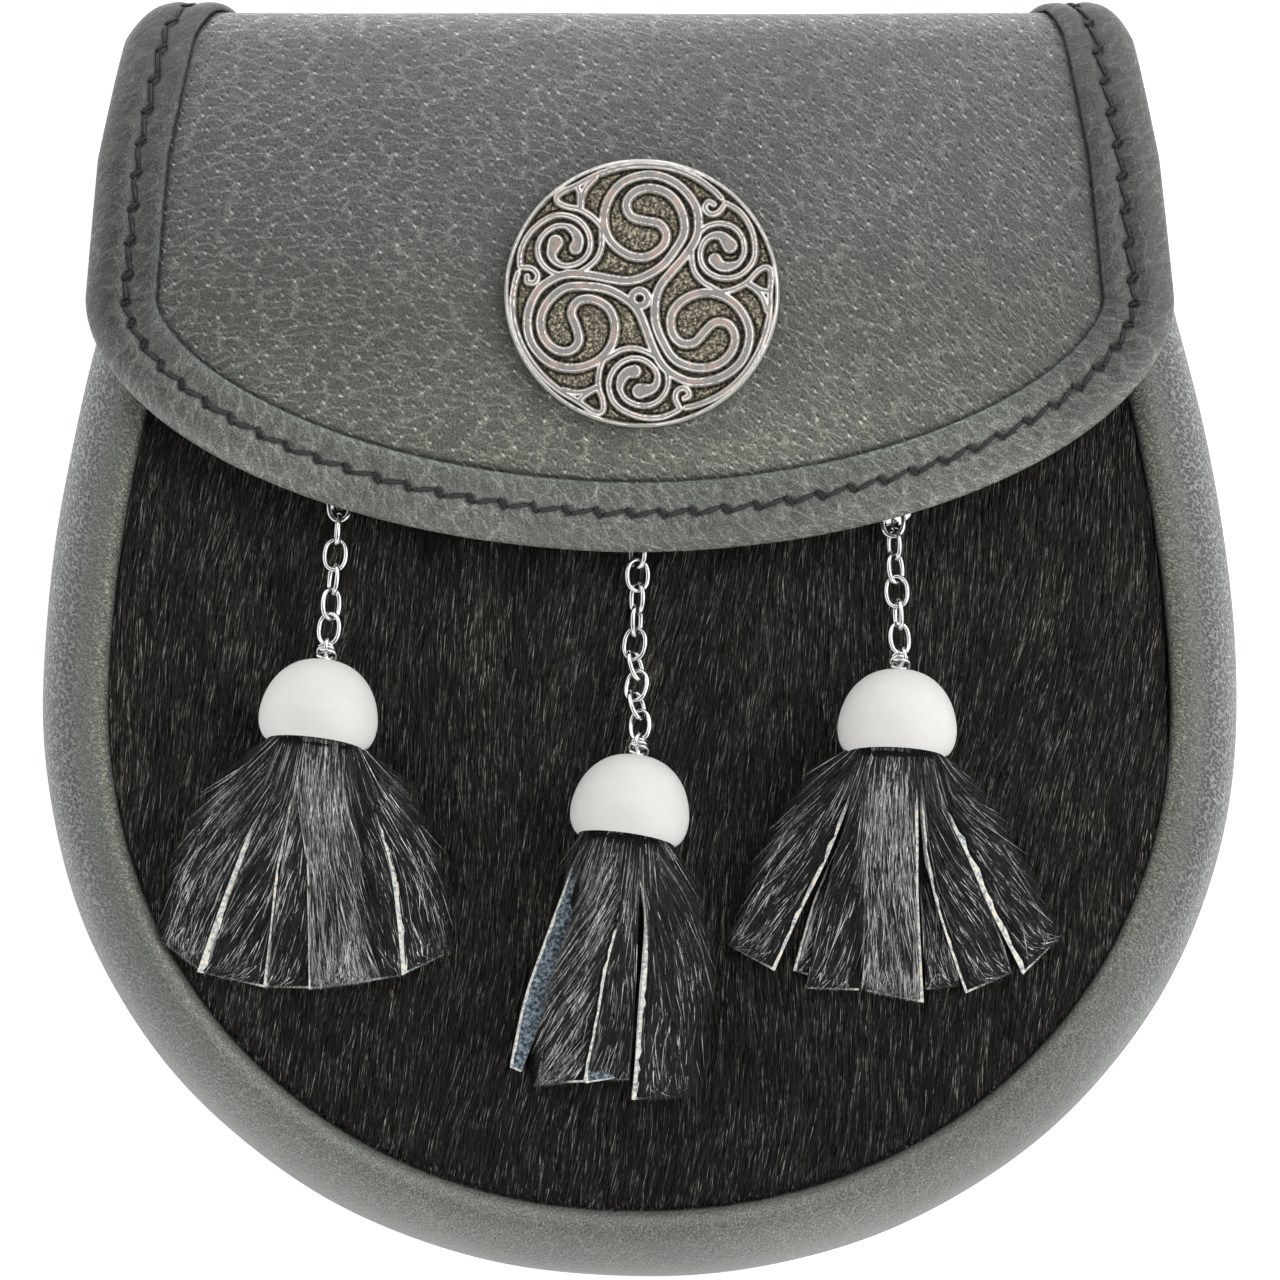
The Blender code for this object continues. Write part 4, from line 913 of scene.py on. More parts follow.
def makeMedallion():
    thirds = [2 * pi / 3 * i for i in range(3)]
    whole = np.concatenate([turnedBy(medallion["band"], a) for a in thirds])
    lines = [(curved(whole, 4, True), True, medallion["bandHalf"])]
    for angle in thirds:
        for key in ("armOut", "armIn", "curl", "crescent", "bar", "corner"):
            half = medallion["armHalf" if key in medallion["heads"] else "slimHalf"]
            lines.append((curved(turnedBy(medallion[key], angle), 4), False, half))
    run = frontRun(medallion["centreY"])
    lift = flap["thickness"] / 2 + medallion["gap"] + medallion["disc"] / 2
    seat = onSheet(np.array([medallion["centreX"]]), np.array([run]), lift)[0]
    above, below = onSheet(np.full(2, medallion["centreX"]), np.array([run - 1, run + 1]))
    tilt = atan2(above[2] - below[2], above[1] - below[1])
    relief = {}

    def place(u, v):
        a, b = 2 * u - 1, 2 * v - 1
        x, y = a * np.sqrt(1 - b * b / 2), b * np.sqrt(1 - a * a / 2)
        flat = np.stack([x, y], 1)
        radius = np.hypot(x, y)
        height = np.zeros(len(x))
        for line, closed, half in lines:
            low, high = line.min(0) - 0.1, line.max(0) + 0.1
            near = ((flat > low) & (flat < high)).all(1)
            height[near] = mergeBands(height[near], bandHeight(distanceTo(flat[near], line, closed), half))
        for angle in thirds:
            for key, halves in medallion["heads"].items():
                way = curved(turnedBy(medallion[key], angle), 4)[:4 * (len(halves) - 1) + 1]
                sizes = np.interp(np.arange(len(way)) / 4, np.arange(len(halves)), halves)
                for spot, half in zip(way, sizes):
                    height = mergeBands(height, bandHeight(np.hypot(x - spot[0], y - spot[1]), half))
        hub = np.hypot(x - medallion["hub"][0], y - medallion["hub"][1])
        height = mergeBands(height, bandHeight(np.abs(hub - medallion["hubRing"]), medallion["hubHalf"]))
        rim = bandHeight(np.abs(radius - medallion["rim"]), medallion["rimHalf"])
        height = np.where(radius > 0.94, mergeBands(height, rim), height)
        height = np.where(radius > 0.99, np.minimum(height, np.clip((1.004 - radius) / 0.014, 0, 1)), height)
        lx, ly = x * medallion["radius"], y * medallion["radius"]
        rough = ripple(lx, ly, 0.9, 3) * 0.05 * np.clip(1 - height, 0, 1)
        relief["height"] = np.clip((height + 0.3) / 1.5, 0, 1)
        z = medallion["disc"] / 2 + medallion["relief"] * (np.clip(height, -0.15, 1.2) * 0.92 + rough)
        # The disc is a little shorter than it is wide, and sits slightly lower than the stud behind it.
        spot = np.stack([seat[0] + lx, seat[1] + medallion["shift"] + ly * medallion["lean"] - z * sin(tilt),
                         seat[2] + ly * sin(tilt) + z * cos(tilt)], 1)
        return spot, np.stack([lx, ly], 1)

    size = medallion["grid"]
    piece = gridPiece("castMedallion", size, size, place)
    writeValues(piece.data, "relief", relief["height"])
    pick(piece)
    bpy.ops.object.mode_set(mode="EDIT")
    bpy.ops.mesh.select_all(action="DESELECT")
    bpy.ops.mesh.select_mode(type="EDGE")
    bpy.ops.mesh.select_non_manifold()
    drop = -(medallion["disc"] - 0.2) * mm
    down = (0, -sin(tilt) * drop, cos(tilt) * drop)
    bpy.ops.mesh.extrude_edges_move(TRANSFORM_OT_translate={"value": down})
    bpy.ops.mesh.edge_face_add()
    bpy.ops.mesh.select_mode(type="VERT")
    bpy.ops.object.mode_set(mode="OBJECT")
    faceOutward(piece, 0)
    smoothPiece(piece, 50)

    # Cast pewter with an antique finish: black patina left in the recesses; the bands' sloping sides are
    # painted near white, a painted highlight where they catch the light.
    material, tree, shader = startMaterial("antiquedCastPewter", {"Metallic": 1.0, "Roughness": 0.34})
    height = addNode(tree, "ShaderNodeAttribute", {"attribute_name": "relief"}, "Fac")
    place = addNode(tree, "ShaderNodeTexCoord", output="Object")
    pits = addNode(tree, "ShaderNodeTexNoise", {
        "Scale": 2100.0, "Detail": 3.0, "Roughness": 0.7, "Vector": place})
    tone = addNode(tree, "ShaderNodeTexNoise", {
        "Scale": 330.0, "Detail": 3.0, "Roughness": 0.65, "Vector": place})
    recess = addNode(tree, "ShaderNodeValToRGB", {
        0: pits, "stops": ((0.36, "#3D3934"), (0.5, "#767063"), (0.64, "#D8CDB5"))})
    band = addNode(tree, "ShaderNodeValToRGB", {
        0: tone, "stops": ((0.32, "#5C5C59"), (0.5, "#746C64"), (0.6, "#B88E78"))})
    step = addNode(tree, "ShaderNodeValToRGB", {0: height, "stops": ((0.24, 0.0), (0.62, 1.0))})
    tones = addNode(tree, "ShaderNodeMix", {"data_type": "RGBA", 0: step, 6: recess, 7: band}, 2)
    # Painted highlight on the bands' sloping sides.
    edge = addNode(tree, "ShaderNodeValToRGB", {
        0: height, "stops": ((0.28, 0.0), (0.36, 1.0), (0.84, 1.0), (0.88, 0.0))})
    paintedEdgeHighlight = addNode(tree, "ShaderNodeMix", {
        "data_type": "RGBA", 0: edge, 6: tones, 7: linearColour("#FFFDFA")}, 2)
    foot = addNode(tree, "ShaderNodeValToRGB", {0: height, "stops": ((0.06, 0.24), (0.17, 1.0))})
    stained = addNode(tree, "ShaderNodeMix", {
        "data_type": "RGBA", "blend_type": "MULTIPLY", 0: 1.0, 6: paintedEdgeHighlight, 7: foot}, 2)
    tree.links.new(stained, shader.inputs["Base Color"])
    gloss = addNode(tree, "ShaderNodeValToRGB", {0: height, "stops": ((0.25, 0.62), (0.7, 0.42))})
    tree.links.new(gloss, shader.inputs["Roughness"])
    bump = addNode(tree, "ShaderNodeBump", {"Strength": 0.5, "Distance": 0.12 * mm, "Height": pits})
    tree.links.new(bump, shader.inputs["Normal"])
    return finishPiece(piece, material, "antique_metal", "medallion")


makeMedallion()
print("medallion")


# Fur

fur = {
    # The hairs are about twice as thick as real ones, and fewer, so that single ones show.
    "hairs": 172000, "length": (4.0, 9.0), "width": 0.14, "lean": 8.0, "base": 1.3,
    "edgeInset": 12.1, "hairInset": 11.6, "rise": (-1.0, 0.25), "hide": 1.6,
    # half width and drop of the flap's curve that the hair runs in under, and how far
    "flapHalf": 87, "flapDrop": 40, "underFlap": 9,
    "topReach": 89.0,    # mm from the belly line up to the hide's top
}


def hairMaterial(name, dark, mid, light, glint, sparks):
    # Glossy animal hair: near black, with some strands pale, partly their own tone and partly a painted
    # highlight of soft grey-brown light.
    material, tree, shader = startMaterial(name, {"Roughness": 0.5, "Specular IOR Level": 0.22, "IOR": 1.55})
    shade = addNode(tree, "ShaderNodeAttribute", {"attribute_name": "shade"}, "Fac")
    colour = addNode(tree, "ShaderNodeValToRGB", {
        0: shade, "stops": ((0.0, dark), (0.62, mid), (0.9, light), (1.0, light))})
    place = addNode(tree, "ShaderNodeTexCoord", output="Object")
    # Wide soft bands of painted sheen, then painted glints that break along each strand.
    for stretch, scale, detail, stops in ((0.22, 110.0, 2.0, ((0.3, 0.7), (0.7, 1.35))),
                                          (glint, 2600.0, 1.0, sparks)):
        way = addNode(tree, "ShaderNodeMapping", {
            "Rotation": (0.0, 0.0, radians(-10)), "Scale": (1.0, stretch, 1.0), "Vector": place})
        spots = addNode(tree, "ShaderNodeTexNoise", {"Scale": scale, "Detail": detail, "Vector": way})
        lift = addNode(tree, "ShaderNodeValToRGB", {0: spots, "stops": stops})
        colour = addNode(tree, "ShaderNodeMix", {
            "data_type": "RGBA", "blend_type": "MULTIPLY", 0: 1.0, 6: colour, 7: lift}, 2)
    tree.links.new(colour, shader.inputs["Base Color"])
    return material


furMaterial = hairMaterial("blackHorsehair", "#0A0805", "#252119", "#7A766F", 0.3,
                           ((0.38, 0.4), (0.5, 0.9), (0.62, 1.7)))


def hairPiece(name, roots, tips, widths, rolls, shades, bow=0.25):
    # Each hair is one slim four-cornered blade: root, two sides, point.
    way = tips - roots
    level = np.stack([way[:, 1], -way[:, 0], np.zeros(len(way))], 1)
    level /= np.maximum(1e-9, np.sqrt((level ** 2).sum(1)))[:, None]
    across = level * np.cos(rolls)[:, None] + np.array([0.0, 0.0, 1.0]) * np.sin(rolls)[:, None]
    across *= widths[:, None] / 2
    middle = roots + way * 0.45
    middle[:, 2] += bow
    verts = np.stack([roots, middle + across, tips, middle - across], 1)
    first = np.arange(len(roots)) * 4
    mesh = bpy.data.meshes.new(name)
    quads = np.stack([first, first + 1, first + 2, first + 3], 1)
    mesh.from_pydata((verts.reshape(-1, 3) * mm).tolist(), [], quads.tolist())
    writeValues(mesh, "shade", np.repeat(shades, 4))
    piece = bpy.data.objects.new(name, mesh)
    scene.collection.objects.link(piece)
    return piece


def insidePanel(x, y, inset):
    half = bodyHalfWidth(np.maximum(y, body["bellyY"])) - inset
    across = np.abs(x) / half
    down = np.clip((body["bellyY"] - y) / (body["drop"] - inset), 0, 2)
    power = body["roundness"]
    return across ** power + down ** power < 1


def makeFur():
    inset = fur["edgeInset"]
    power = body["roundness"]

    def place(u, v):
        low = np.clip((0.55 - v) / 0.55, 0, 1)
        y = np.where(v < 0.55, body["bellyY"] - (body["drop"] - inset) * np.sin(low * pi / 2) ** (2 / power),
                     body["bellyY"] + (v - 0.55) / 0.45 * fur["topReach"])
        narrow = np.where(v < 0.55, np.cos(low * pi / 2) ** (2 / power), 1.0)
        x = (2 * u - 1) * np.maximum(0.02, narrow) * (bodyHalfWidth(np.maximum(y, body["bellyY"])) - inset)
        return np.stack([x, y, panelTop(x, y) - fur["base"]], 1), np.stack([x, y], 1)

    hide = gridPiece("furHide", 70, 80, place)
    faceOutward(hide)
    giveWall(hide, fur["hide"])
    smoothPiece(hide, 50)
    dark, tree, shader = startMaterial("blackHideSkin", {"Roughness": 0.8, "Specular IOR Level": 0.1})
    place = addNode(tree, "ShaderNodeTexCoord", output="Object")
    mottle = addNode(tree, "ShaderNodeTexNoise", {"Scale": 900.0, "Detail": 2.0, "Vector": place})
    skin = addNode(tree, "ShaderNodeValToRGB", {0: mottle, "stops": ((0.3, "#080706"), (0.7, "#171413"))})
    tree.links.new(skin, shader.inputs["Base Color"])
    finishPiece(hide, dark, "black_fur", "front_panel")

    rng = np.random.default_rng(41)
    count = fur["hairs"]
    x = rng.uniform(-84, 84, count * 3)
    y = rng.uniform(-90, 78, count * 3)
    # Under the flap, where it doesn't show, the hair is thin.
    curve = np.maximum(0, 1 - np.abs(x / fur["flapHalf"]) ** flap["roundness"]) ** (1 / flap["roundness"])
    flapLine = flap["cornerY"] - fur["flapDrop"] * curve
    shows = (y < flapLine + fur["underFlap"]) | (rng.random(count * 3) < 0.04)
    keep = insidePanel(x, y, fur["hairInset"]) & shows
    x, y = x[keep][:count], y[keep][:count]
    count = len(x)
    lean = radians(fur["lean"]) + 0.13 * ripple(x, y, 60.0, 8) + 0.07 * ripple(x, y, 12.0, 9)
    lean = lean + rng.normal(0, 0.07, count)
    length = rng.uniform(*fur["length"], count)
    dx, dy = -np.sin(lean), -np.cos(lean)
    for _ in range(4):
        outside = ~insidePanel(x + dx * length, y + dy * length, fur["hairInset"] - 0.3)
        length = np.where(outside, length * 0.55, length)
    tx, ty = x + dx * length, y + dy * length
    roots = np.stack([x, y, panelTop(x, y) + fur["rise"][0]], 1)
    tips = np.stack([tx, ty, panelTop(tx, ty) + rng.uniform(-0.55, fur["rise"][1], count)], 1)
    shades = rng.beta(1.3, 3.0, count) + 0.1 * ripple(x, y * 0.3, 9.0, 12)
    shades = np.clip(shades - 0.2 * np.clip((-y - 40) / 35, 0, 1), 0, 1)
    # One hair in ten is pale: partly its own tone, partly a painted highlight.
    shades = np.where(rng.random(count) < 0.1, rng.uniform(0.72, 1.0, count), shades)
    widths = fur["width"] * rng.uniform(0.7, 1.3, count)
    rolls = rng.normal(0, 0.55, count)
    half = count // 2
    for name, part in (("furHairUpper", slice(0, half)), ("furHairLower", slice(half, count))):
        piece = hairPiece(name, roots[part], tips[part], widths[part], rolls[part], shades[part])
        finishPiece(piece, furMaterial, "black_fur")


makeFur()
print("fur")


# Caps, chains, eyes and the other metal parts

drops = {
    # rim: middle of the cap's rim; tilt of the cap as seen from the front
    "left": {"rim": (-51.2, -16.6), "tilt": 7.0, "links": 6},
    "middle": {"rim": (-2.2, -31.6), "tilt": 8.0, "links": 10},
    "right": {"rim": (40.3, -18.2), "tilt": 3.0, "links": 6},
}

cap = {
    "profile": ((0.75, 13.65), (1.6, 13.6), (3.2, 13.3), (5.0, 12.5), (6.6, 11.2), (7.9, 9.5), (8.8, 7.5),
                (9.3, 5.4), (9.4, 3.8), (9.15, 2.2), (8.6, 1.0), (8.0, 0.35), (7.6, 0.1)),
    "around": 72, "wall": 0.6, "nod": 10.0, "gap": 0.3,
    # radius and height of the points that can touch the fur
    "corners": ((1.3, 13.6), (4.6, 12.8), (7.2, 10.4), (8.9, 6.6), (9.4, 2.8), (8.9, 0.0)),
}


def dropFrame(drop):
    tilt, nod = radians(drop["tilt"]), radians(cap["nod"])
    apexWay = Vector((sin(tilt) * cos(nod), cos(tilt) * cos(nod), -sin(nod)))
    side = Vector((cos(tilt), -sin(tilt), 0.0))
    x, y = drop["rim"]
    below = max(r * cos(nod) + h * sin(nod) for r, h in cap["corners"])
    rim = Vector((x, y, float(panelTop(x, y)) + cap["gap"] + below))
    return rim, apexWay, side


def chromeMaterial(name, colour, pale, roughness, uneven, metallic=1.0):
    # Plated brass, with a little orange peel. The wire is bright; the caps are a near white matt coat, a
    # painted reflection of the white light on their chrome.
    material, tree, shader = startMaterial(name, {"Metallic": metallic, "Roughness": roughness})
    place = addNode(tree, "ShaderNodeTexCoord", output="Object")
    peel = addNode(tree, "ShaderNodeTexNoise", {"Scale": 380.0, "Detail": 2.0, "Vector": place})
    shade = addNode(tree, "ShaderNodeValToRGB", {0: peel, "stops": ((0.3, colour), (0.7, pale))})
    tree.links.new(shade, shader.inputs["Base Color"])
    bump = addNode(tree, "ShaderNodeBump", {"Strength": uneven, "Distance": 0.04 * mm, "Height": peel})
    tree.links.new(bump, shader.inputs["Normal"])
    return material


# Painted reflection: the caps are near white and not metallic, in place of the chrome's reflection of the
# white light.
capPaintedReflection = chromeMaterial("chromeCapPaintedReflection", "#D8D6D2", "#DCDAD6", 0.6, 0.15, 0.0)
linkSteel = chromeMaterial("brightSteelWire", "#D4D3D6", "#F4F4F0", 0.06, 0.1)


def makeCap(key):
    rim, apexWay, side = dropFrame(drops[key])
    third = apexWay.cross(side)
    section = curved(cap["profile"], 4)

    def place(u, v):
        ring = along(section, u)
        angle = 2 * pi * v
        spot = (np.array(rim) + ring[:, 1:2] * np.array(apexWay)
                + (ring[:, 0] * np.cos(angle))[:, None] * np.array(side)
                + (ring[:, 0] * np.sin(angle))[:, None] * np.array(third))
        return spot, np.stack([angle * 9, ring[:, 1]], 1)

    piece = gridPiece("chromeCap_" + key, 36, cap["around"], place)
    faceOutward(piece)
    middle = rim + apexWay * 6
    inside = sum((p.normal.dot(p.center / mm - middle) < 0) for p in piece.data.polygons)
    if inside > len(piece.data.polygons) / 2:
        flipFaces(piece)
    giveWall(piece, cap["wall"])
    smoothPiece(piece, 60)
    return finishPiece(piece, capPaintedReflection, "polished_metal", "cap_" + key)


def wornCopy(node, name, material, slot, level, fatten=0.0):
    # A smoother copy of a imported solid, in the same place.
    source = bpy.data.objects[node]
    mesh = source.data.copy()
    mesh.name = name
    piece = bpy.data.objects.new(name, mesh)
    scene.collection.objects.link(piece)
    pick(piece)
    bpy.ops.object.mode_set(mode="EDIT")
    bpy.ops.mesh.select_all(action="SELECT")
    bpy.ops.mesh.remove_doubles(threshold=0.00001)
    bpy.ops.mesh.tris_convert_to_quads(face_threshold=radians(50), shape_threshold=radians(60))
    bpy.ops.mesh.normals_make_consistent(inside=False)
    if fatten:
        bpy.ops.transform.shrink_fatten(value=fatten * mm)
    bpy.ops.object.mode_set(mode="OBJECT")
    if level:
        smoother = piece.modifiers.new("round", "SUBSURF")
        smoother.levels = level
        smoother.render_levels = level
        applyAll(piece)
    smoothPiece(piece, 60)
    return finishPiece(piece, material, slot, node)


wrap = {
    "points": 90, "turns": 4.3, "radius": 1.25, "sway": 0.35, "height": 15.0, "climb": 1.1, "flatness": 0.75,
    "jitter": 0.03, "wire": 0.24, "looseFrom": 0.93,
}


def wrapWire(key, eye):
    # The thin wire that ties the last link down is wrapped a few times round the eye, with a loose end.
    rim, apexWay, side = dropFrame(drops[key])
    third = apexWay.cross(side)
    rng = np.random.default_rng(len(key))
    share = np.linspace(0, 1, wrap["points"])
    turn = share * 2 * pi * wrap["turns"]
    loose = np.maximum(share - wrap["looseFrom"], 0) * 16
    out = wrap["radius"] + wrap["sway"] * np.sin(share * 23.0) + loose
    rise = wrap["height"] + wrap["climb"] * np.sin(share * 2 * pi * 1.7) + 0.25 * np.sin(turn * 1.6)
    spots = (np.array(rim) + rise[:, None] * np.array(apexWay)
             + (out * np.cos(turn))[:, None] * np.array(side)
             + (out * wrap["flatness"] * np.sin(turn))[:, None] * np.array(third)
             + rng.normal(0, wrap["jitter"], (wrap["points"], 3)))
    bpy.ops.curve.primitive_bezier_curve_add()
    wire = bpy.context.object
    wire.data.splines.clear()
    spline = wire.data.splines.new("POLY")
    spline.points.add(len(spots) - 1)
    spline.points.foreach_set("co", np.column_stack([spots * mm, np.ones(len(spots))]).ravel())
    wire.data.bevel_depth = wrap["wire"] * mm
    wire.data.bevel_resolution = 1
    wire.data.use_fill_caps = True
    pick(wire)
    bpy.ops.object.convert(target="MESH")
    smoothPiece(wire)
    deselectAll()
    wire.select_set(True)
    eye.select_set(True)
    bpy.context.view_layer.objects.active = eye
    wire.data.materials.clear()
    wire.data.materials.append(linkSteel)
    bpy.ops.object.join()


def makeHardware():
    for key, drop in drops.items():
        makeCap(key)
        for i in range(drop["links"]):
            wornCopy(f"link_{key}_{i + 1}", f"chainLink_{key}_{i + 1}", linkSteel, "polished_metal", 2, 0.05)
        eye = wornCopy("eye_" + key, "capEye_" + key, linkSteel, "polished_metal", 1)
        wrapWire(key, eye)
        wornCopy("anchor_" + key, "chainStaple_" + key, linkSteel, "polished_metal", 0)
    wornCopy("closure_stud", "pressStud", linkSteel, "polished_metal", 0)
    for side in ("left", "right"):
        wornCopy("belt_loop_" + side, "beltLoop_" + side, backLeather, "grey_leather", 0)


makeHardware()
print("caps and chains")


# Tassels: strips of haired hide

tassel = {
    # These hairs too are thicker and fewer than real ones, so that single ones show.
    "thickness": 0.7, "hairs": 23000, "hairLength": (6.5, 13.0), "hairWidth": 0.12, "columns": 10, "rows": 30,
    "layerStep": 0.45, "cut": 0.35, "curl": 0.4, "overhang": 3.6, "gatherReach": 14,
    # the gathered bundle under the rim: half width, squared radius, flatness, steepness of its fall
    "bundle": 6.3, "bundleSquare": 42.0, "flatness": 0.82, "fall": 1.6,
    "shortHairs": 1500, "shortLength": (4.0, 11.0),
    # The bundle under the strips. Columns: distance from the rim, half width, half height, sink.
    "core": ((-7.0, 4.2, 4.2, 0.0), (-0.4, 6.3, 4.4, 0.0), (5.0, 6.6, 2.4, 1.8), (12.0, 7.6, 1.0, 5.4),
             (20.0, 8.0, 0.5, 7.9)),
}

# Columns of each strip: left edge, right edge, layer, bare edge at the left (top and bottom width) and at
# the right, hair lean from the strip's own run in degrees, tone, how far the hair hangs over (-1 left).
# A strip with no lean shows its bare flesh side.
stripColumns = ("left", "right", "layer", "bareLeft", "bareRight", "lean", "tone", "hang")
stripRows = {
    "left": (
        (((-59.3, -17.7), (-67.5, -25.9), (-73.1, -37.1), (-74.8, -48.6)),
         ((-56.0, -20.7), (-60.5, -28.9), (-64.6, -38.9), (-69.4, -52.7)), 1, (0, 0), 0, 7, 0.08, -1),
        (((-56.4, -19.9), (-60.8, -28.1), (-65.7, -40.1), (-70.2, -52.6)),
         ((-54.5, -25.9), (-56.4, -35.2), (-58.2, -45.6), (-59.3, -55.1)), 2, (0.4, 1.3), 0, 15, 0.02, 0),
        (((-55.6, -28.0), (-57.4, -36.1), (-58.4, -44.5), (-59.7, -55.0)),
         ((-52.6, -29.2), (-51.5, -37.1), (-51.5, -46.4), (-51.5, -55.2)), 3, (0.3, 0.5), 0, 15, 0.0, 0),
        (((-54.5, -20.7), (-53.4, -29.6), (-52.6, -37.1), (-52.4, -55.3)),
         ((-45.9, -20.7), (-44.9, -33.3), (-44.2, -42.7), (-42.6, -54.0)), 5, (0.2, 0.3), 0, 0, 0.28, 1),
        (((-45.9, -22.1), (-45.2, -33.3), (-44.0, -42.7), (-42.7, -54.0)),
         ((-42.6, -25.5), (-39.6, -34.5), (-38.1, -42.7), (-37.3, -53.1)), 2, (0, 0), 0, -12, -0.04, 0),
        (((-44.0, -23.6), (-40.1, -33.3), (-38.6, -42.7), (-37.7, -53.1)),
         ((-41.4, -20.7), (-35.5, -28.1), (-32.1, -37.1), (-31.1, -49.9)), 3, (0.5, 1.0), 0, -8, -0.02, 1),
    ),
    "middle": (
        (((-9.5, -32.8), (-14.3, -45.5), (-18.1, -56.2), (-20.6, -67.7)),
         ((-5.9, -33.6), (-10.1, -46.2), (-14.3, -57.0), (-18.9, -68.5)), 1, (0.3, 0.4), 0, None, 0, 0),
        (((-6.1, -34.0), (-10.8, -48.6), (-14.9, -61.6), (-14.8, -70.3)),
         ((-2.4, -40.5), (-5.1, -51.2), (-6.6, -59.7), (-8.7, -70.0)), 3, (0, 0), 0.4, 25, 0.1, -0.6),
        (((-2.8, -41.6), (-5.1, -51.2), (-6.6, -59.7), (-8.6, -69.7)),
         ((-0.1, -38.6), (-0.5, -50.1), (-0.9, -59.7), (-1.6, -69.7)), 2, (0, 0), 0, 4, -0.02, 0),
        (((-0.4, -36.3), (1.0, -43.9), (0.2, -55.8), (-1.3, -72.8)),
         ((4.5, -34.0), (8.7, -42.4), (9.9, -55.8), (6.8, -72.3)), 4, (0.6, 0.75), 0, -8, -0.06, 1),
        (((-8.1, -67.1), (-8.4, -68.7), (-8.6, -70.2)),
         ((-4.7, -68.7), (-4.3, -68.9), (-3.9, -69.4)), 3, (0, 0.3), 0, None, 0, 0),
    ),
    "right": (
        (((31.9, -18.9), (25.6, -25.6), (19.6, -36.8), (15.0, -48.9)),
         ((34.2, -22.2), (29.7, -34.2), (25.2, -43.5), (21.3, -52.4)), 3, (0, 0), 0.5, 12, 0.0, -1),
        (((31.2, -33.1), (27.8, -40.5), (25.6, -48.0), (24.3, -52.4)),
         ((34.2, -33.1), (31.2, -40.5), (29.0, -48.0), (26.9, -53.2)), 1, (0.3, 0.4), 0, 10, 0.0, 0),
        (((34.2, -21.5), (31.2, -33.1), (28.6, -42.4), (26.2, -55.2)),
         ((37.2, -22.2), (36.4, -33.1), (35.7, -42.4), (34.7, -55.5)), 2, (0, 0), 0, 8, 0.0, 0),
        (((35.3, -20.7), (34.9, -33.1), (35.6, -45.4), (36.0, -55.6)),
         ((43.6, -21.5), (43.9, -31.2), (44.0, -40.5), (44.9, -57.4)), 5, (0, 0), 0.5, 0, 0.22, -1),
        (((43.1, -25.2), (43.9, -34.9), (44.6, -44.3), (45.3, -55.4)),
         ((46.1, -33.4), (48.0, -40.2), (49.5, -47.6), (50.6, -54.7)), 1, (0, 0), 0, -6, 0.0, 0),
        (((44.3, -25.2), (45.8, -37.2), (48.2, -46.1), (51.6, -56.0)),
         ((47.2, -25.2), (52.8, -36.8), (56.2, -43.9), (59.0, -52.7)), 2, (0.3, 0.4), 0, -15, -0.02, 0),
        (((46.3, -23.7), (51.0, -32.7), (55.5, -42.8), (60.7, -53.0)),
         ((48.7, -21.5), (55.5, -29.0), (61.8, -40.2), (65.2, -48.5)), 3, (0.6, 0.8), 0, -15, 0.0, 1),
    ),
}
strips = {key: [dict(zip(stripColumns, row)) for row in rows] for key, rows in stripRows.items()}
tasselHair = hairMaterial("blackGoatHair", "#0A0909", "#2B2929", "#BEBCBA", 0.06,
                          ((0.36, 0.6), (0.5, 0.95), (0.64, 1.45)))


def fibreMaterial(name, stops, roughness, scale):
    # Matt felted fibres of undyed or dyed hide, mottled.
    material, tree, shader = startMaterial(name, {"Roughness": roughness, "Specular IOR Level": 0.15})
    place = addNode(tree, "ShaderNodeTexCoord", output="Object")
    fibre = addNode(tree, "ShaderNodeTexNoise", {
        "Scale": scale, "Detail": 3.0, "Roughness": 0.65, "Vector": place})
    mottled = addNode(tree, "ShaderNodeValToRGB", {0: fibre, "stops": stops})
    tree.links.new(mottled, shader.inputs["Base Color"])
    bump = addNode(tree, "ShaderNodeBump", {"Strength": 0.6, "Distance": 0.2 * mm, "Height": fibre})
    tree.links.new(bump, shader.inputs["Normal"])
    return material


# Black-dyed skin under the hair; the pale cut edge that the dye never reached; the blue-grey flesh side.
tasselSkin = fibreMaterial("dyedHideSkin", ((0.3, "#0B0A0A"), (0.7, "#1D1B1C")), 0.9, 1200.0)
rawEdge = fibreMaterial("rawHideEdge", ((0.34, "#858E96"), (0.5, "#D3D8D6"), (0.64, "#FFF0D0")), 0.85, 1500.0)
fleshSide = fibreMaterial("fleshSideSuede", ((0.36, "#2B3138"), (0.5, "#5E6A74"), (0.64, "#A3AFB9")),
                          0.9, 1700.0)


def bundleTop(rim, off):
    # Top of the gathered bundle under the rim, at a distance to the side of its middle.
    return rim.z + np.sqrt(np.maximum(0.5, tassel["bundleSquare"] - off ** 2)) * tassel["flatness"]


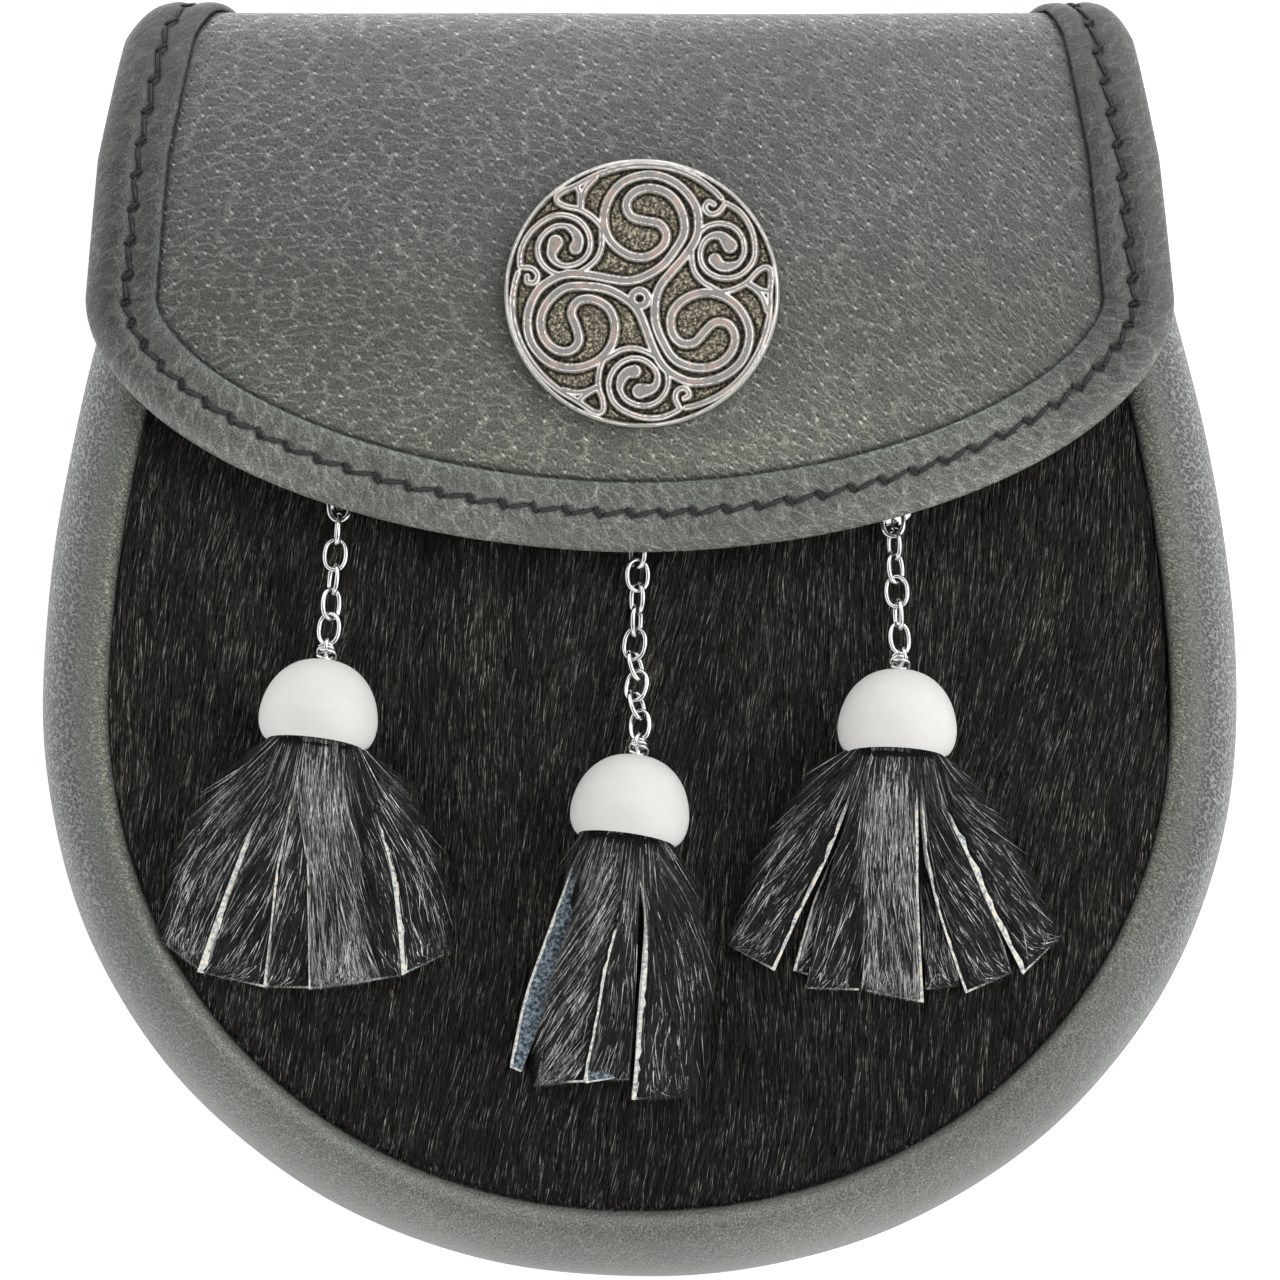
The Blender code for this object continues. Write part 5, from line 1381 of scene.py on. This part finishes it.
def stripShape(key, strip):
    # Gives a function for the point at a share of the way from the cap to the cut end and a share
    # across, a function for the width at a share of the way, and the length.
    rim, apexWay, _ = dropFrame(drops[key])
    level = np.array([apexWay.x, apexWay.y])
    level /= hypot(level[0], level[1])
    side = np.array([level[1], -level[0]])
    axis = np.array([rim.x, rim.y])
    edges = [np.array(strip["left"]), np.array(strip["right"])]
    fromCap = max(((edge[0] - axis) @ -level) for edge in edges) < tassel["gatherReach"]
    if fromCap:
        # It starts inside the cap, closer to the middle than where it comes out.
        for k, edge in enumerate(edges):
            off = np.clip((edge[0] - axis) @ side * 0.8, -6.0, 6.0)
            edges[k] = np.concatenate([[axis + side * off + level * 2.0], edge])
    left, right = (curved(edge, 8) for edge in edges)
    long = stepLengths(left).sum()

    def shape(share, cross, above=0.0):
        a, b = along(left, np.clip(share, 0, 1)), along(right, np.clip(share, 0, 1))
        flat = a * (1 - cross)[:, None] + b * cross[:, None]
        flat = flat - level[None, :] * (np.maximum(share - 1, 0) * long)[:, None]
        rest = panelTop(flat[:, 0], flat[:, 1]) + 0.6 + strip["layer"] * tassel["layerStep"]
        height = rest
        if fromCap:
            top = bundleTop(rim, (flat - axis) @ side) - 1.3 + strip["layer"] * 0.12
            height = rest + (np.maximum(top, rest) - rest) * np.clip(1 - share, 0, 1) ** tassel["fall"]
        curl = 0.5 * (cross - 0.5) ** 2 * share + 0.15 * ripple(flat[:, 0], flat[:, 1], 7.0, strip["layer"])
        return np.stack([flat[:, 0], flat[:, 1], height + curl + above], 1)

    def width(share):
        a, b = along(left, np.clip(share, 0, 1)), along(right, np.clip(share, 0, 1))
        return np.sqrt(((a - b) ** 2).sum(1))

    return shape, width, long


def makeStrip(key, number, strip):
    shape, width, long = stripShape(key, strip)
    columns, rows = tassel["columns"], tassel["rows"]
    (bareTop, bareBottom), bareRight = strip["bareLeft"], strip["bareRight"]
    grid = {}

    def place(u, v):
        grid["u"], grid["v"] = u, v
        share = np.where(v > 1 - 1 / rows, 1 - (1 - v) * rows * tassel["cut"] / long,
                         v / (1 - 1 / rows) * (1 - tassel["cut"] / long))
        torn = 1.0 + 0.45 * ripple(share * long, share * 0, 2.6, number)
        start = np.clip((share - 0.12) / 0.15, 0, 1)
        nearLeft = start * (bareTop + (bareBottom - bareTop) * share) * torn
        nearLeft = np.maximum(0.03, nearLeft) / width(share)
        nearRight = np.maximum(0.03, start * bareRight * torn) / width(share)
        inside = (u - 1 / columns) / (1 - 2 / columns)
        cross = nearLeft + (1 - nearLeft - nearRight) * inside
        cross = np.where(u < 1 / columns, u * columns * nearLeft, cross)
        cross = np.where(u > 1 - 1 / columns, 1 - (1 - u) * columns * nearRight, cross)
        # The raw edges curl up a little, the cut end bends down.
        bare = (u < 1.2 / columns) & (bareBottom > 0) | (u > 1 - 1.2 / columns) & (bareRight > 0)
        curl = np.where(bare, tassel["curl"] * np.clip((share - 0.2) / 0.2, 0, 1), 0)
        rise = curl - np.where(v > 0.999, 0.2, 0)
        return shape(share, cross, rise), np.stack([u * 8, v * long], 1)

    piece = gridPiece(f"strip_{key}_{number}", columns, rows, place)
    for material in (tasselSkin, rawEdge, fleshSide):
        piece.data.materials.append(material)
    if sum(face.normal.z for face in piece.data.polygons) < 0:
        flipFaces(piece)
    for face in piece.data.polygons:
        u = np.mean([grid["u"][k] for k in face.vertices])
        v = np.mean([grid["v"][k] for k in face.vertices])
        atLeft = u < 1 / columns and bareBottom > 0
        atRight = u > 1 - 1 / columns and bareRight > 0
        if atLeft or atRight or v > 1 - 1 / rows:
            face.material_index = 1
        else:
            face.material_index = 2 if strip["lean"] is None else 0
    giveWall(piece, tassel["thickness"])
    return piece


def stripHair(key, strip, count, rng):
    # Hair lies along the strip, leans to one side and is cut off with the strip's end.
    shape, width, long = stripShape(key, strip)
    (bareTop, bareBottom), bareEnd = strip["bareLeft"], strip["bareRight"]
    layer, tone, overhang = strip["layer"], strip["tone"], strip["hang"]
    share = rng.uniform(-0.03, 0.97, count)
    cross = rng.uniform(0.0, 1.0, count)
    wide = np.maximum(1.5, width(share))
    bareLeft = (bareTop + (bareBottom - bareTop) * share) / wide
    bareRight = bareEnd / wide
    cross = bareLeft + (1 - bareLeft - bareRight) * cross
    reach = rng.uniform(*tassel["hairLength"], count)
    lean = radians(strip["lean"]) + rng.normal(0, 0.11, count)
    lean = lean + 0.12 * ripple(share * long, cross * 3, 6.0, layer)
    end = np.minimum(share + reach * np.cos(lean) / long, 1.0 + rng.uniform(0.0, 0.01, count))
    endWide = np.maximum(1.5, width(end))
    endCross = cross - reach * np.sin(lean) / endWide
    over = rng.uniform(0.0, 1.0, count) ** 2
    hang = over * tassel["overhang"] * abs(overhang) / endWide
    lowest = -hang if overhang < 0 else bareLeft * rng.uniform(0.8, 1.0, count)
    highest = 1 + hang if overhang > 0 else 1 - bareRight * rng.uniform(0.8, 1.0, count)
    endCross = np.clip(endCross, lowest, highest)
    shade = rng.beta(1.3, 3.6, count) + tone + 0.14 * ripple(cross * 14, share * 3, 2.2, layer + 7)
    # Some hairs are pale: partly their own tone, partly a painted highlight.
    shade = np.where(rng.random(count) < 0.05 + tone * 0.4, rng.uniform(0.72, 1.0, count), shade)
    shade = np.clip(shade, 0, 1)
    # Hairs that catch the light lie a little higher.
    roots = shape(share, cross, 0.05 + 0.12 * shade)
    tips = shape(end, endCross, (rng.uniform(0.2, 0.7, count) + 0.12 * shade) * np.clip(1.25 - end, 0.35, 1))
    return roots, tips, shade


def makeTassel(key, seed):
    rim, apexWay, _ = dropFrame(drops[key])
    level = np.array([apexWay.x, apexWay.y, 0.0])
    level /= hypot(level[0], level[1])
    side = np.array([level[1], -level[0], 0.0])
    up = np.array([0.0, 0.0, 1.0])
    rng = np.random.default_rng(seed)
    haired = [strip for strip in strips[key] if strip["lean"] is not None]
    pieces = [makeStrip(key, number, strip) for number, strip in enumerate(strips[key])]
    areas = np.array([stripShape(key, strip)[1](np.linspace(0, 1, 9)).mean() for strip in haired])
    hairs = [stripHair(key, strip, int(tassel["hairs"] * area / areas.sum()), rng)
             for strip, area in zip(haired, areas)]
    rows = np.array(tassel["core"])

    def corePlace(u, v):
        out, wide, high, sink = (np.interp(v, np.linspace(0, 1, len(rows)), column) for column in rows.T)
        way = np.where((out < 0)[:, None], np.array(apexWay)[None, :], level[None, :])
        angle = u * 2 * pi
        spot = (np.array(rim)[None, :] - way * out[:, None] - up[None, :] * sink[:, None]
                + side[None, :] * (wide * np.cos(angle))[:, None]
                + up[None, :] * (high * np.sin(angle))[:, None])
        return spot, np.stack([angle, out], 1)

    core = gridPiece("core_" + key, 28, 20, corePlace)
    for material in (tasselSkin, rawEdge, fleshSide):
        core.data.materials.append(material)
    faceOutward(core)
    pieces.append(core)
    deselectAll()
    for piece in pieces:
        piece.select_set(True)
    bpy.context.view_layer.objects.active = core
    bpy.ops.object.join()
    core.name = "tasselHide_" + key
    core.data.name = core.name
    smoothPiece(core, 45)
    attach(core, "root")
    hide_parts("tassel_" + key)
    # Short gathered hair that fans out from under the rim, over the strips and between them.
    count = tassel["shortHairs"]
    across = rng.uniform(-1, 1, count)
    angle = across * 0.62
    start = (np.array(rim)[:2] + level[:2] * rng.uniform(0.5, 2.5, count)[:, None]
             + side[:2] * (across * tassel["bundle"])[:, None])
    reach = rng.uniform(*tassel["shortLength"], count)
    fan = angle * rng.uniform(0.3, 0.8, count) * np.where(np.abs(across) > 0.9, 1.0, 0.8)
    way = side[:2] * np.sin(fan)[:, None] - level[:2] * np.cos(fan)[:, None]
    finish = start + way * reach[:, None]
    top = bundleTop(rim, across * tassel["bundle"]) - 1.4 + rng.uniform(-0.8, 0.6, count)
    rest = panelTop(finish[:, 0], finish[:, 1]) + 1.6
    fall = np.clip(1 - reach * np.cos(fan) / 36, 0, 1) ** tassel["fall"]
    loose = rng.uniform(0.2, 1.0, count) * (1 - across ** 2 * 0.6)
    low = rest + (np.maximum(top, rest) - rest) * fall + loose
    shade = np.clip(rng.beta(1.4, 1.7, count), 0, 1)
    hairs.append((np.column_stack([start, top]), np.column_stack([finish, low]), shade))
    roots = np.concatenate([found[0] for found in hairs])
    tips = np.concatenate([found[1] for found in hairs])
    shades = np.concatenate([found[2] for found in hairs])
    count = len(roots)
    piece = hairPiece("tasselHair_" + key, roots, tips, tassel["hairWidth"] * rng.uniform(0.6, 1.3, count),
                      rng.normal(0, 0.5, count), shades, 0.25)
    finishPiece(piece, tasselHair, "haired_hide")


for tasselSeed, tasselName in enumerate(drops):
    makeTassel(tasselName, 60 + tasselSeed)
print("tassels")
